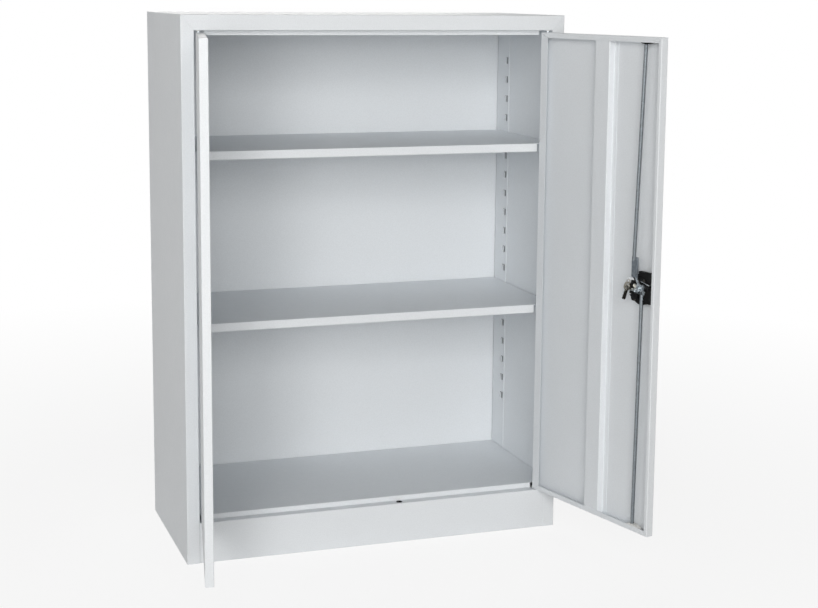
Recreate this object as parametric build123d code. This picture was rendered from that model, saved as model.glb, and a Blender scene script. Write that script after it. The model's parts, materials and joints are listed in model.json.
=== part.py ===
from build123d import *
import os
from math import atan2, cos, degrees, radians, sin, sqrt

# Low two-door sheet-steel cabinet, millimetres.
# Pieces are drawn with Y measured from the front of the carcass, doors closed on the right.
# They are written with the doors open and the origin at the middle of the base, on the floor.
# +X right, +Y back, +Z up.

# ---- carcass -----------------------------------------------------------------
width = 915.0
depth = 415.0
height = 1250.0
carcass_sheet = 1.2
bend = 1.0                    # inner bend radius of every fold
stile_width = 30.0
stile_depth = 19.5
stile_lip = 22.0
rail_height = 35.0
stop_drop = 10.6              # how far the door stop hangs below the rail
rear_flange = 15.0
back_recess = 8.0
back_sheet = 1.0
overrun = 1.0                 # how far a cut runs past the face it opens
panel_gap = 0.3               # between panels that are spot-welded together
mitre_joint = 0.3             # open line between rail and stile
plinth_height = 95.4
plinth_foot = 18.0
base_frame_sheet = 1.5
base_frame_leg = 25.0
ledge_depth = 38.0
floor_rise = 12.6             # lip of the floor panel above the plinth ledge

# ---- shelves and slotted uprights ---------------------------------------------
shelf_sheet = 1.0
shelf_edge = 20.0
shelf_return = 13.0
shelf_side_drop = 15.0
shelf_side_gap = 2.4
shelf_rear_gap = 1.1
corner_relief = 25.5          # front corners stay clear of the doors' hinge edges
corner_setback = 24.0
upright_sheet = 1.2
upright_width = 76.0
front_upright_y = 34.0
rear_upright_setback = 11.0   # rear upright's back edge from the back of the carcass
slot_setback = 8.0            # mouth of a tongue behind the upright's front edge
slot_pitch = 49.0
slot_count = 18
first_slot_z = 248.0
tongue_height = 16.0
tongue_length = 18.0
tongue_rise = 5.0
tongue_flat = 2.0
slot_margin = 0.2
lower_shelf_slot = 6
upper_shelf_slot = 14
shelf_above_slot = 13.0
clip_sheet = 1.5
clip_width = 17.0
clip_reach = 18.0
clip_tab = 8.0
clip_drop = 7.0
clip_play = 0.1
clip_notch = 2.0

# ---- doors --------------------------------------------------------------------
door_sheet = 1.0
door_depth = 18.7
door_side_gap = 2.3
door_centre_gap = 2.4
door_top_gap = 4.6
door_bottom_gap = 1.6
stop_clearance = 2.2
hinge_lip = 25.0
free_lip = 9.0
top_lip = 12.5
bottom_lip = 12.0
mitre_gap = 0.7
edge_radius = 1.8
hat_from_hinge = 200.0
hat_crown = 50.0
hat_flange = 13.0
hat_clearance = 0.2
hat_end_gap = 1.0
right_door_open = 103.7       # degrees, rest pose
left_door_open = 100.8

# ---- pivots -------------------------------------------------------------------
hinge_inset = 8.0             # pivot axis from the door's hinge edge
hinge_setback = 5.5           # pivot axis behind the door's outer face
pin_radius = 2.5
pin_head_radius = 3.8
pin_head = 1.5
pin_past_bush = 1.0
bush_radius = 3.6
bush_flange_radius = 4.8
bush_flange = 1.5
bush_tail = 3.0
running_fit = 0.05
assembly_fit = 0.05

# ---- lock, rods and keys --------------------------------------------------------
backset = 53.0                # spindle from the door's free edge
rod_radius = 4.0
rod_slot = 18.0
rod_slot_depth = 10.0
rod_behind_face = 12.0        # rod axis behind the door's outer face at the guides
guide_from_spindle = 4.0      # rod axis at its guide, from the spindle
rod_tip_recess = 1.2
cup_radius = 35.0
cup_wall = 2.0
cup_flange_radius = 40.0
cup_flange = 2.5
cup_back = 11.0               # back of the cup behind the door's outer face
cup_play = 0.3
grip_length = 62.0
grip_width = 13.0
grip_stand = 9.0
grip_bar = 9.0
grip_edge = 2.2
hub_radius = 14.0
spindle_radius = 6.0
square_drive = 8.0
plug_radius = 5.5
plug_length = 13.0
plug_stand = 0.6
keyway = 1.6
keyway_height = 7.0
case_left = 30.0              # lock case reach from the spindle to the hinge side
case_right = 43.8
case_top = 37.0
case_bottom = 34.0
plate_left = 26.0             # base of the case behind the cam and the keys
plate_top = 24.0
case_base = 2.0
case_bore = 8.5
case_disc = 24.0
case_rim = 2.0
upper_lobe_low = 12.5         # upper lobe starts this far above the spindle
side_lobe_top = 5.0
lobe_cut = 6.0
upper_lobe_across = 3.0
side_lobe_across = 20.0
lower_lobe_across = 5.9
lower_lobe_drop = 13.5
upper_screw_across = 20.0
upper_screw_rise = 23.0
lower_screw_across = 12.0
lower_screw_drop = 27.0
high_lobe = 20.0              # height of the lobes above the door's outer face
low_lobe = 15.8
cam_sheet = 2.5
cam_clearance = 0.3
cam_hub = 11.0
cam_half_width = 7.0
stud_offset = 13.0
stud_radius = 3.0
stud_past_strap = 0.6
stud_rest_angle = 25.0        # studs below and above level while unlocked
strap_sheet = 2.5
strap_layer = 0.5
yoke_play = 0.4
yoke_rise = 1.2
yoke_wall = 2.0
upper_strap_width = 20.0
upper_arm_width = 9.0         # narrow lower end of the upper strap
upper_arm_from_spindle = 5.0
upper_strap_low = 23.0        # wide part of the upper strap starts this far above the spindle
upper_strap_from_spindle = 10.0
upper_strap_top = 67.0
upper_rod_from_spindle = 14.7
lower_strap_width = 12.0
lower_rod_from_spindle = 11.5 # towards the free edge
lower_strap_drop = 22.0
rod_in_strap = 12.0
guide_length = 44.0
guide_from_free = 53.0        # middle of a rod guide from the door's free edge
guide_ahead = 6.0             # guide in front of the rod's axis
guide_drop = 10.0
guide_belly = 5.0
guide_play = 0.08
screw_radius = 1.5
screw_head_radius = 3.4
screw_head = 1.8
lug_sheet = 2.5
lug_from_spindle = 28.0
lug_above_spindle = 20.5
lug_height = 12.0
lug_hole = 2.4
lug_past_hole = 5.0
lug_round = 4.0
lug_foot = 21.0
key_axis = 22.0               # key ring behind the door's outer face
ring_radius = 6.0
ring_wire = 0.8               # half the wire's width
ring_play = 0.5
key_bow = 9.5
key_sheet = 2.0
key_hole = 3.0
key_gap = 1.2
blade_length = 25.0
blade_width = 7.0
first_key_swing = 10.0
second_key_swing = 24.0

# ---- derived -------------------------------------------------------------------
half_width = width / 2
opening_half = half_width - stile_width
wall_inner = half_width - carcass_sheet
rear_upright_y = depth - rear_upright_setback - upright_width
back_face = depth - carcass_sheet - back_recess + back_sheet
opening_top = height - rail_height
floor_top = plinth_height + floor_rise
stop_face = door_depth + stop_clearance
stop_half = opening_half - corner_relief
door_width = (2 * opening_half - 2 * door_side_gap - door_centre_gap) / 2
door_bottom = plinth_height + door_bottom_gap
door_top = opening_top - door_top_gap
hinge_edge = opening_half - door_side_gap
hinge_x = hinge_edge - hinge_inset
spindle_x = hinge_edge - door_width + backset
spindle_z = (door_top + door_bottom) / 2
guide_x = spindle_x + guide_from_spindle
lower_shelf_top = first_slot_z + lower_shelf_slot * slot_pitch + shelf_above_slot
upper_shelf_top = first_slot_z + upper_shelf_slot * slot_pitch + shelf_above_slot
cam_front = cup_back + case_base + cam_clearance
cam_back = cam_front + cam_sheet
lower_strap_front = cam_back + strap_layer
upper_strap_front = lower_strap_front + strap_sheet + strap_layer


def block(x, y, z):
    """Box between the limits given as pairs."""
    centre = Pos((x[0] + x[1]) / 2, (y[0] + y[1]) / 2, (z[0] + z[1]) / 2)
    return centre * Box(abs(x[1] - x[0]), abs(y[1] - y[0]), abs(z[1] - z[0]))


def rod_between(start, end, radius):
    """Round bar from one point to another."""
    direction = Vector(*end) - Vector(*start)
    plane = Plane(origin=start, z_dir=direction)
    return extrude(plane * Circle(radius), direction.length)


def post(x, z, radius, y):
    """Cylinder along Y between two depths."""
    return rod_between((x, y[0], z), (x, y[1], z), radius)


def folded(points, sheet):
    """Section of a folded sheet that follows its centre line."""
    return trace(FilletPolyline(*points, radius=bend + sheet / 2), sheet)


def fold_along_z(points, sheet, z):
    """Folded sheet whose section lies in plan, between two heights."""
    return extrude(Pos(0, 0, z[0]) * folded(points, sheet), z[1] - z[0])


def fold_along_x(points, sheet, x):
    """Folded sheet whose section is given as (Y, Z) points."""
    return extrude(Plane.YZ.offset(x[0]) * folded(points, sheet), x[1] - x[0])


def fold_along_y(points, sheet, y):
    """Folded sheet whose section is given as (X, Z) points."""
    return extrude(Plane.XZ.offset(-y[0]) * folded(points, sheet), -(y[1] - y[0]))


def prism_along_y(points, y):
    """Solid whose (X, Z) outline is swept between two depths."""
    outline = make_face(Polyline(*points, close=True))
    return extrude(Plane.XZ.offset(-y[0]) * outline, -(y[1] - y[0]))


def mirrored(shape):
    """The same piece for the other side of the cabinet."""
    return mirror(shape, Plane.YZ)


# ---- carcass --------------------------------------------------------------------
def side_panel():
    """Right side wall, folded round the stile at the front and to a flange at the back."""
    half = carcass_sheet / 2
    stile_x = opening_half + half
    lip_y = stile_depth - half
    wall_x = half_width - half
    section = [
        (stile_x + stile_lip, lip_y),
        (stile_x, lip_y),
        (stile_x, half),
        (wall_x, half),
        (wall_x, depth - half),
        (wall_x - rear_flange, depth - half),
    ]
    panel = fold_along_z(section, carcass_sheet, (0, height - carcass_sheet))
    mitre = prism_along_y(
        [
            (opening_half - overrun, opening_top),
            (opening_half, opening_top),
            (wall_inner, opening_top + rail_height * (wall_inner - opening_half) / stile_width),
            (wall_inner, height),
            (opening_half - overrun, height),
        ],
        (-overrun, carcass_sheet),
    )
    box_depth = (carcass_sheet, stile_depth + overrun)
    box_top = block((opening_half - overrun, wall_inner), box_depth, (opening_top, height))
    return panel - mitre - box_top


def back_panel():
    """Shallow tray set into the back of the carcass."""
    half = back_sheet / 2
    edge_x = wall_inner - panel_gap - half
    plate_y = back_face - half
    rear_y = depth - carcass_sheet - bend
    section = [(-edge_x, rear_y), (-edge_x, plate_y), (edge_x, plate_y), (edge_x, rear_y)]
    return fold_along_z(section, back_sheet, (0, height - carcass_sheet - panel_gap))


def top_panel():
    """Top sheet folded down into the front rail, the soffit and the door stop."""
    half = carcass_sheet / 2
    section = [
        (depth - half, height - rear_flange),
        (depth - half, height - half),
        (half, height - half),
        (half, opening_top + half),
        (stop_face + half, opening_top + half),
        (stop_face + half, opening_top - stop_drop),
    ]
    panel = fold_along_x(section, carcass_sheet, (-half_width, half_width))
    rear_corner = block(
        (wall_inner - rear_flange - panel_gap, half_width + overrun),
        (depth - carcass_sheet - 2 * bend, depth + overrun),
        (height - rear_flange - overrun, height - carcass_sheet),
    )
    mitre = prism_along_y(
        [
            (opening_half - mitre_joint, opening_top),
            (half_width - stile_width * carcass_sheet / rail_height - mitre_joint, height - carcass_sheet),
            (half_width + overrun, height - carcass_sheet),
            (half_width + overrun, opening_top - stop_drop - overrun),
            (opening_half - mitre_joint, opening_top - stop_drop - overrun),
        ],
        (-overrun, carcass_sheet),
    )
    soffit_end = block(
        (opening_half, half_width + overrun),
        (carcass_sheet, stop_face + 2 * carcass_sheet),
        (opening_top - stop_drop - overrun, height - carcass_sheet),
    )
    stop_end = block(
        (stop_half, half_width + overrun),
        (stop_face - bend, stop_face + 2 * carcass_sheet),
        (opening_top - stop_drop - overrun, opening_top + bend),
    )
    for cut in (rear_corner, mitre, soffit_end, stop_end):
        panel = panel - cut - mirrored(cut)
    panel = panel - rod_opening(opening_top + half)
    return panel - pivot_holes(opening_top + half)


def rod_opening(z):
    """Round-ended slot that a lock rod shoots into."""
    slot = Pos(guide_x, rod_behind_face, z) * SlotOverall(rod_slot, rod_slot_depth)
    return extrude(slot, 2 * carcass_sheet, both=True)


def pivot_holes(z):
    """Seats of the pivot bushes in one sheet."""
    hole = Cylinder(bush_radius + assembly_fit, 4 * carcass_sheet)
    return Pos(hinge_x, hinge_setback, z) * hole + Pos(-hinge_x, hinge_setback, z) * hole


def tray(top, front, drop, lip, side_x, sheet):
    """Flat panel with folded front, rear and side edges and relieved front corners."""
    half = sheet / 2
    rear = back_face - back_sheet - shelf_rear_gap
    low = top - drop + half
    flat = top - half
    edge = side_x - half
    along = [(front + half, low), (front + half, flat), (rear - half, flat), (rear - half, low)]
    if lip:
        along.insert(0, (front + lip, low))
    across = [(stop_half - shelf_return, flat), (edge, flat), (edge, top - shelf_side_drop)]
    panel = fold_along_x(along, sheet, (-stop_half, stop_half))
    wing = fold_along_y(across, sheet, (corner_setback, rear))
    return panel + wing + mirrored(wing)


def floor_panel():
    """Bottom of the storage space; its front lip stops the doors."""
    return tray(floor_top, stop_face, floor_rise, 0, wall_inner - panel_gap, carcass_sheet)


def plinth_panel():
    """Ledge below the doors, plinth and foot flange folded from one sheet."""
    half = carcass_sheet / 2
    section = [
        (ledge_depth, plinth_height - half),
        (half, plinth_height - half),
        (half, half),
        (plinth_foot, half),
    ]
    panel = fold_along_x(section, carcass_sheet, (-opening_half, opening_half))
    return panel - rod_opening(plinth_height - half) - pivot_holes(plinth_height - half)


def base_frame():
    """Ring of welded angle that the cabinet stands on."""
    x = wall_inner - panel_gap
    y = (stile_depth + panel_gap, back_face - back_sheet - panel_gap)
    thin = base_frame_sheet
    ring = block((-x, x), y, (0, base_frame_leg))
    ring = fillet(ring.edges().group_by(Axis.Z)[0], bend + thin)
    inside = block((thin - x, x - thin), (y[0] + thin, y[1] - thin), (thin, 2 * base_frame_leg))
    inside = fillet(inside.edges().group_by(Axis.Z)[0], bend)
    wide = base_frame_leg
    window = block((wide - x, x - wide), (y[0] + wide, y[1] - wide), (-overrun, thin + overrun))
    return ring - inside - window


def slotted_upright(front):
    """Right-hand strip with a column of tongues bent out of slots."""
    wall = wall_inner
    mouth = front + slot_setback
    low = floor_top + panel_gap
    high = opening_top - panel_gap
    strip = block((wall - upright_sheet, wall), (front, front + upright_width), (low, high))
    peak = wall - upright_sheet - tongue_rise
    tail = mouth + tongue_length
    thin = upright_sheet
    outline = Polyline(
        (peak, mouth),
        (peak, mouth + tongue_flat),
        (wall - thin, tail),
        (wall, tail),
        (wall, tail - thin),
        (peak + thin, mouth + tongue_flat),
        (peak + thin, mouth),
        close=True,
    )
    tongue = extrude(make_face(outline), tongue_height / 2, both=True)
    slot = block(
        (wall - upright_sheet - overrun, wall + overrun),
        (mouth - slot_margin, tail - thin),
        (-tongue_height / 2 - slot_margin, tongue_height / 2 + slot_margin),
    )
    places = [Pos(0, 0, first_slot_z + index * slot_pitch) for index in range(slot_count)]
    strip = strip - [place * slot for place in places]
    return strip + [place * tongue for place in places]


def shelf(top):
    """Loose shelf with folded edges, notched at the clips."""
    panel = tray(top, stop_face, shelf_edge, shelf_return, wall_inner - shelf_side_gap, shelf_sheet)
    for front in (front_upright_y, rear_upright_y):
        mouth = front + slot_setback
        notch = block(
            (wall_inner - shelf_side_gap - clip_reach, half_width),
            (mouth - clip_width - clip_notch, mouth + tongue_length + clip_notch),
            (top - shelf_edge - overrun, top - shelf_sheet),
        )
        panel = panel - notch - mirrored(notch)
    return panel


def shelf_clip(front, shelf_top):
    """Right-hand clip: a tab behind a tongue and an arm under the shelf."""
    wall = wall_inner
    mouth = front + slot_setback
    slot_z = shelf_top - shelf_above_slot
    arm_top = shelf_top - shelf_sheet
    plate_x = wall - upright_sheet - clip_play
    tab_x = wall - clip_play
    ends = (mouth - clip_width, mouth - slot_margin)
    plate = block((plate_x - clip_sheet, plate_x), ends, (slot_z - clip_drop, arm_top))
    arm = block((plate_x - clip_reach, plate_x), ends, (arm_top - clip_sheet, arm_top))
    grip = (slot_z - clip_drop + clip_play, slot_z + clip_drop - clip_play)
    tab = block((tab_x - clip_sheet, tab_x), (mouth - slot_margin / 2, mouth + clip_tab), grip)
    neck = block((plate_x - clip_sheet, plate_x), (mouth - 2 * slot_margin, mouth + clip_sheet), grip)
    return plate + arm + tab + neck


def shelf_clips(shelf_top):
    """The four clips under one shelf."""
    right = [shelf_clip(front, shelf_top) for front in (front_upright_y, rear_upright_y)]
    return Compound(right + [mirrored(clip) for clip in right])


def pivot_round(start, end, radius):
    """Cylinder on the right-hand pivot axis between two heights."""
    return rod_between((hinge_x, hinge_setback, start), (hinge_x, hinge_setback, end), radius)


def hinge_bush(z, away):
    """Flanged bush; the flange faces the door."""
    flange = pivot_round(z, z - away * bush_flange, bush_flange_radius)
    body = pivot_round(z, z + away * bush_tail, bush_radius)
    bore = pivot_round(z - 2 * away * bush_flange, z + 2 * away * bush_tail, pin_radius + running_fit)
    return flange + body - bore


def hinge_bushes():
    """Two bushes in the rail soffit and two in the plinth ledge."""
    right = [hinge_bush(opening_top, 1), hinge_bush(plinth_height, -1)]
    return Compound(right + [mirrored(bush) for bush in right])


# ---- doors, modelled closed on the right-hand side ---------------------------------
def door_panel():
    """Folded door tray with return lips on all four sides."""
    x = (hinge_edge - door_width, hinge_edge)
    y = (0, door_depth)
    z = (door_bottom, door_top)
    outside = block(x, y, z)
    shell = fillet(outside.edges().filter_by(Axis.Y, reverse=True), edge_radius)
    inside = block(
        (x[0] + door_sheet, x[1] - door_sheet),
        (door_sheet, door_depth - door_sheet),
        (z[0] + door_sheet, z[1] - door_sheet),
    )
    window = block(
        (x[0] + free_lip, x[1] - hinge_lip),
        (door_depth / 2, door_depth + overrun),
        (z[0] + bottom_lip, z[1] - top_lip),
    )
    inside = fillet(inside.edges().filter_by(Axis.Y, reverse=True), edge_radius - door_sheet)
    panel = shell - inside - window
    corners = [
        (x[0], z[0], free_lip, bottom_lip),
        (x[0], z[1], free_lip, -top_lip),
        (x[1], z[0], -hinge_lip, bottom_lip),
        (x[1], z[1], -hinge_lip, -top_lip),
    ]
    for corner_x, corner_z, reach_x, reach_z in corners:
        panel = panel - mitre_slit(corner_x, corner_z, reach_x, reach_z)
    pin = Cylinder(pin_radius + assembly_fit, 6 * door_sheet)
    for hole_z in z:
        panel = panel - Pos(hinge_x, hinge_setback, hole_z) * pin
    return panel


def mitre_slit(corner_x, corner_z, reach_x, reach_z):
    """Open joint between two lips, from the tray's corner to the lips' inner corner."""
    length = sqrt(reach_x ** 2 + reach_z ** 2)
    slit = Box(length + mitre_gap, 4 * door_sheet, mitre_gap)
    slit = Rot(0, -degrees(atan2(reach_z, reach_x)), 0) * Pos(length / 2 + edge_radius, 0, 0) * slit
    return Pos(corner_x, door_depth, corner_z) * slit


def door_stiffener():
    """Hat section welded to the inside of the door skin."""
    half = door_sheet / 2
    outer = hinge_edge - hat_from_hinge
    inner = outer - hat_crown
    base = door_sheet + half
    crown = door_depth - door_sheet - hat_clearance - half
    section = [
        (outer + hat_flange, base),
        (outer - half, base),
        (outer - half, crown),
        (inner + half, crown),
        (inner + half, base),
        (inner - hat_flange, base),
    ]
    ends = (door_bottom + door_sheet + hat_end_gap, door_top - door_sheet - hat_end_gap)
    return fold_along_z(section, door_sheet, ends)


def door_pin(wall_inside, away, reach):
    """Headed pivot pin riveted through the end of a door."""
    head = pivot_round(wall_inside, wall_inside - away * pin_head, pin_head_radius)
    return head + pivot_round(wall_inside, reach, pin_radius)


def door_pins():
    """Top and bottom pivot pins of one door."""
    top = door_pin(door_top - door_sheet, 1, opening_top + bush_tail + pin_past_bush)
    bottom = door_pin(door_bottom + door_sheet, -1, plinth_height - bush_tail - pin_past_bush)
    return Compound([top, bottom])


def lock_door_panel():
    """Door tray with the lock cup's hole and the rods' slots."""
    panel = door_panel()
    panel = panel - post(spindle_x, spindle_z, cup_radius + cup_play, (-overrun, 2 * door_sheet))
    for z in (door_bottom, door_top):
        panel = panel - rod_opening(z)
    return panel


# ---- lock, modelled with the right door closed ---------------------------------------
def lock_cup():
    """Round recessed cup in the outer face of the door."""
    flange = post(spindle_x, spindle_z, cup_flange_radius, (-cup_flange, 0))
    flange = chamfer(flange.edges().group_by(Axis.Y)[0], cup_flange / 2)
    body = post(spindle_x, spindle_z, cup_radius, (0, cup_back))
    hollow = post(spindle_x, spindle_z, cup_radius - cup_wall, (-2 * cup_flange, cup_back - cup_wall))
    bore = post(spindle_x, spindle_z, spindle_radius + running_fit, (0, 2 * cup_back))
    cup = flange + body - hollow - bore
    for x, z in case_screw_places():
        cup = cup - post(x, z, screw_radius, (cup_back - cup_wall - overrun, cup_back + overrun))
    return cup


def case_screw_places():
    """Where the lock case is screwed to the cup, one place in the upper and one in the lower lobe."""
    upper = (spindle_x - upper_screw_across, spindle_z + upper_screw_rise)
    lower = (spindle_x + lower_screw_across, spindle_z - lower_screw_drop)
    return [upper, lower]


def case_lobe(x, z, back, cut):
    """Block of the lock case with its upright edges cut off at 45 degrees."""
    lobe = block(x, (cup_back, back), z)
    return chamfer(lobe.edges().filter_by(Axis.Y), cut)


def lock_case():
    """Moulded case behind the cup: a plate under the cam and three lobes round the rods."""
    left = spindle_x + case_left
    right = spindle_x - case_right
    top = spindle_z + case_top
    bottom = spindle_z - case_bottom
    plate_across = (right, spindle_x + plate_left)
    plate = case_lobe(plate_across, (bottom, spindle_z + plate_top), cup_back + case_base, lobe_cut)
    cam_room = post(spindle_x, spindle_z, case_disc, (cup_back, high_lobe + overrun))
    upper_across = (right, spindle_x - upper_lobe_across)
    upper = case_lobe(upper_across, (spindle_z + upper_lobe_low, top), high_lobe, lobe_cut)
    side_across = (right, spindle_x - side_lobe_across)
    side = case_lobe(side_across, (bottom, spindle_z + side_lobe_top), high_lobe, lobe_cut / 2)
    lower = case_lobe(
        (spindle_x - lower_lobe_across, left),
        (bottom + lobe_cut / 2, spindle_z - lower_lobe_drop),
        low_lobe,
        lobe_cut,
    )
    room_ends = (cup_back + case_base, high_lobe + overrun)
    strap_room = post(spindle_x, spindle_z, case_disc - case_rim, room_ends)
    case = plate + (upper - cam_room) + (side - cam_room) + (lower - strap_room) + key_lug()
    case = case - post(spindle_x, spindle_z, case_bore, (0, cup_back + case_base + overrun))
    for x, z in case_screw_places():
        case = case - post(x, z, screw_radius + assembly_fit, (cup_back - overrun, high_lobe + overrun))
    return case


def key_lug():
    """Ear of the lock case that the key ring hangs from."""
    x = spindle_x + lug_from_spindle
    z = spindle_z + lug_above_spindle
    half = lug_height / 2
    foot = block((x - lug_foot, x + lug_sheet), (cup_back, cup_back + case_base), (z - half, z))
    ear = block((x, x + lug_sheet), (cup_back, key_axis + lug_past_hole), (z - half, z + half))
    ear = fillet(ear.edges().filter_by(Axis.X).group_by(Axis.Y)[-1], lug_round)
    hole = rod_between((x - overrun, key_axis, z), (x + lug_sheet + overrun, key_axis, z), lug_hole)
    return foot + ear - hole


def case_screws():
    """Pan-head screws that clamp case and cup."""
    screws = []
    for (x, z), face in zip(case_screw_places(), (high_lobe, low_lobe)):
        head = post(x, z, screw_head_radius, (face, face + screw_head))
        shank = post(x, z, screw_radius, (cup_back - cup_wall, face))
        screws.append(head + shank)
    return Compound(screws)


def turn_handle():
    """Grip bar with a round hub, bored for the key plug."""
    floor_y = cup_back - cup_wall - cup_play
    hub = post(spindle_x, spindle_z, hub_radius, (-grip_stand, floor_y))
    bar = extrude(SlotOverall(grip_length, grip_width), grip_bar)
    bar = Pos(spindle_x, -grip_stand, spindle_z) * Rot(-90, 0, 0) * bar
    bar = chamfer(bar.edges().group_by(Axis.Y)[0], grip_edge)
    bore_ends = (-2 * grip_stand, plug_length - grip_stand)
    bore = post(spindle_x, spindle_z, plug_radius + running_fit, bore_ends)
    drive = drive_square((floor_y - square_drive / 2, floor_y + overrun), assembly_fit)
    return hub + bar - bore - drive


def drive_square(y, play):
    """Square section that turns handle, spindle and cam together."""
    half = square_drive / 2 + play
    return block((spindle_x - half, spindle_x + half), y, (spindle_z - half, spindle_z + half))


def spindle():
    """Steel spindle: round in the cup, square in the hub and in the cam."""
    floor_y = cup_back - cup_wall - cup_play
    round_part = post(spindle_x, spindle_z, spindle_radius, (floor_y, cam_front))
    square_part = drive_square((floor_y - square_drive / 2, cam_back), 0)
    return round_part + square_part


def stud_place(side):
    """Rest position of a stud; side is 1 towards the hinges and -1 away from them."""
    angle = radians(-stud_rest_angle)
    return spindle_x + side * stud_offset * cos(angle), spindle_z + side * stud_offset * sin(angle)


def lock_cam():
    """Cam plate with a long stud for the upper strap and a short one for the lower."""
    upper_x, upper_z = stud_place(1)
    lower_x, lower_z = stud_place(-1)
    plate = post(spindle_x, spindle_z, cam_hub, (cam_front, cam_back))
    arm = Box(2 * stud_offset, cam_sheet, 2 * cam_half_width)
    plate = plate + Pos(spindle_x, (cam_front + cam_back) / 2, spindle_z) * Rot(0, stud_rest_angle, 0) * arm
    for x, z in ((upper_x, upper_z), (lower_x, lower_z)):
        plate = plate + post(x, z, cam_half_width, (cam_front, cam_back))
    plate = plate - drive_square((cam_front - overrun, cam_back + overrun), assembly_fit)
    upper_tip = upper_strap_front + strap_sheet + stud_past_strap
    plate = plate + post(upper_x, upper_z, stud_radius, (cam_back, upper_tip))
    return plate + post(lower_x, lower_z, stud_radius, (cam_back, lower_strap_front + strap_sheet))


def yoke(side, front):
    """Plate with the cross slot that a stud slides in."""
    stud_x, stud_z = stud_place(side)
    least_reach = stud_offset * cos(radians(90 - stud_rest_angle))
    near = spindle_x + side * (least_reach - stud_radius - yoke_play - yoke_wall)
    far = spindle_x + side * (stud_offset + stud_radius + yoke_play + yoke_wall)
    slot_half = stud_radius + yoke_rise
    tall = slot_half + yoke_wall
    plate = block((near, far), (front, front + strap_sheet), (stud_z - tall, stud_z + tall))
    slot = block(
        (near + side * yoke_wall, far - side * yoke_wall),
        (front - overrun, front + strap_sheet + overrun),
        (stud_z - slot_half, stud_z + slot_half),
    )
    return plate, slot


def upper_rod_ends():
    """Axis of the upper rod, from its strap to its tip."""
    start = (
        spindle_x + upper_rod_from_spindle,
        upper_strap_front + strap_sheet / 2,
        spindle_z + upper_strap_top - rod_in_strap,
    )
    end = (guide_x, rod_behind_face, door_top - rod_tip_recess)
    return start, end


def lower_rod_ends():
    """Axis of the lower rod, from its strap to its tip."""
    start = (
        spindle_x - lower_rod_from_spindle,
        lower_strap_front + strap_sheet / 2,
        spindle_z - lower_strap_drop + rod_in_strap,
    )
    end = (guide_x, rod_behind_face, door_bottom + rod_tip_recess)
    return start, end


def lock_rod(ends):
    """Straight round rod."""
    return rod_between(ends[0], ends[1], rod_radius)


def rod_socket(ends):
    """Room in a strap for the end of its rod."""
    return rod_between(ends[0], ends[1], rod_radius + assembly_fit)


def upper_strap():
    """Flat strap between the hinge-side stud and the upper rod."""
    plate, slot = yoke(1, upper_strap_front)
    centre = spindle_x + upper_strap_from_spindle
    layer = (upper_strap_front, upper_strap_front + strap_sheet)
    wide_low = spindle_z + upper_strap_low
    wide = block(
        (centre - upper_strap_width / 2, centre + upper_strap_width / 2),
        layer,
        (wide_low, spindle_z + upper_strap_top),
    )
    arm_x = spindle_x + upper_arm_from_spindle
    arm_across = (arm_x - upper_arm_width / 2, arm_x + upper_arm_width / 2)
    arm = block(arm_across, layer, (stud_place(1)[1], wide_low))
    return plate + arm + wide - slot - rod_socket(upper_rod_ends())


def lower_strap():
    """Short strap between the far stud and the lower rod."""
    plate, slot = yoke(-1, lower_strap_front)
    centre = spindle_x - lower_rod_from_spindle
    tongue = block(
        (centre - lower_strap_width / 2, centre + lower_strap_width / 2),
        (lower_strap_front, lower_strap_front + strap_sheet),
        (spindle_z - lower_strap_drop, stud_place(-1)[1]),
    )
    return plate + tongue - slot - rod_socket(lower_rod_ends())


def rod_path(ends, radius):
    """Round space swept by a rod, to beyond its tip."""
    start, tip = Vector(*ends[0]), Vector(*ends[1])
    past = tip + (tip - start).normalized() * guide_length
    return rod_between(tuple(start), tuple(past), radius)


def rod_guide(ends, wall, away):
    """Guide under one end wall of the door, with a rounded inner edge and the rod's bore."""
    middle = hinge_edge - door_width + guide_from_free
    half = guide_length / 2
    near = wall - away * assembly_fit
    low = wall - away * guide_drop
    belly = wall - away * (guide_drop + guide_belly)
    front = rod_behind_face - guide_ahead
    rear = door_depth - door_sheet - assembly_fit
    arc = ThreePointArc((middle + half, low), (middle, belly), (middle - half, low))
    left, right = middle - half, middle + half
    sides = Polyline((left, low), (left, near), (right, near), (right, low))
    outline = make_face(arc + sides)
    guide = extrude(Plane.XZ.offset(-front) * outline, front - rear)
    guide = fillet(guide.edges().filter_by(Axis.X), edge_radius)
    return guide - rod_path(ends, rod_radius + guide_play)


def upper_rod_guide():
    """Guide of the upper rod."""
    return rod_guide(upper_rod_ends(), door_top - door_sheet, 1)


def lower_rod_guide():
    """Guide of the lower rod."""
    return rod_guide(lower_rod_ends(), door_bottom + door_sheet, -1)


def key_plug():
    """Lock plug in the hub, with its keyway."""
    front = -grip_stand - plug_stand
    plug = post(spindle_x, spindle_z, plug_radius, (front, plug_length - grip_stand - running_fit))
    way = block(
        (spindle_x - keyway / 2, spindle_x + keyway / 2),
        (front - overrun, front + plug_length / 2),
        (spindle_z - keyway_height / 2, spindle_z + keyway_height / 2),
    )
    return plug - way


def ring_middle():
    """Centre of the key ring as it hangs in the ear."""
    x = spindle_x + lug_from_spindle + lug_sheet / 2
    z = spindle_z + lug_above_spindle - (lug_hole - ring_wire - ring_play) - ring_radius
    return x, key_axis, z


def key_ring():
    """Ring of flattened wire through the ear and both keys."""
    outline = Circle(ring_radius + ring_wire) - Circle(ring_radius - ring_wire)
    return Pos(*ring_middle()) * Rot(90, 0, 0) * extrude(outline, ring_wire, both=True)


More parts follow.
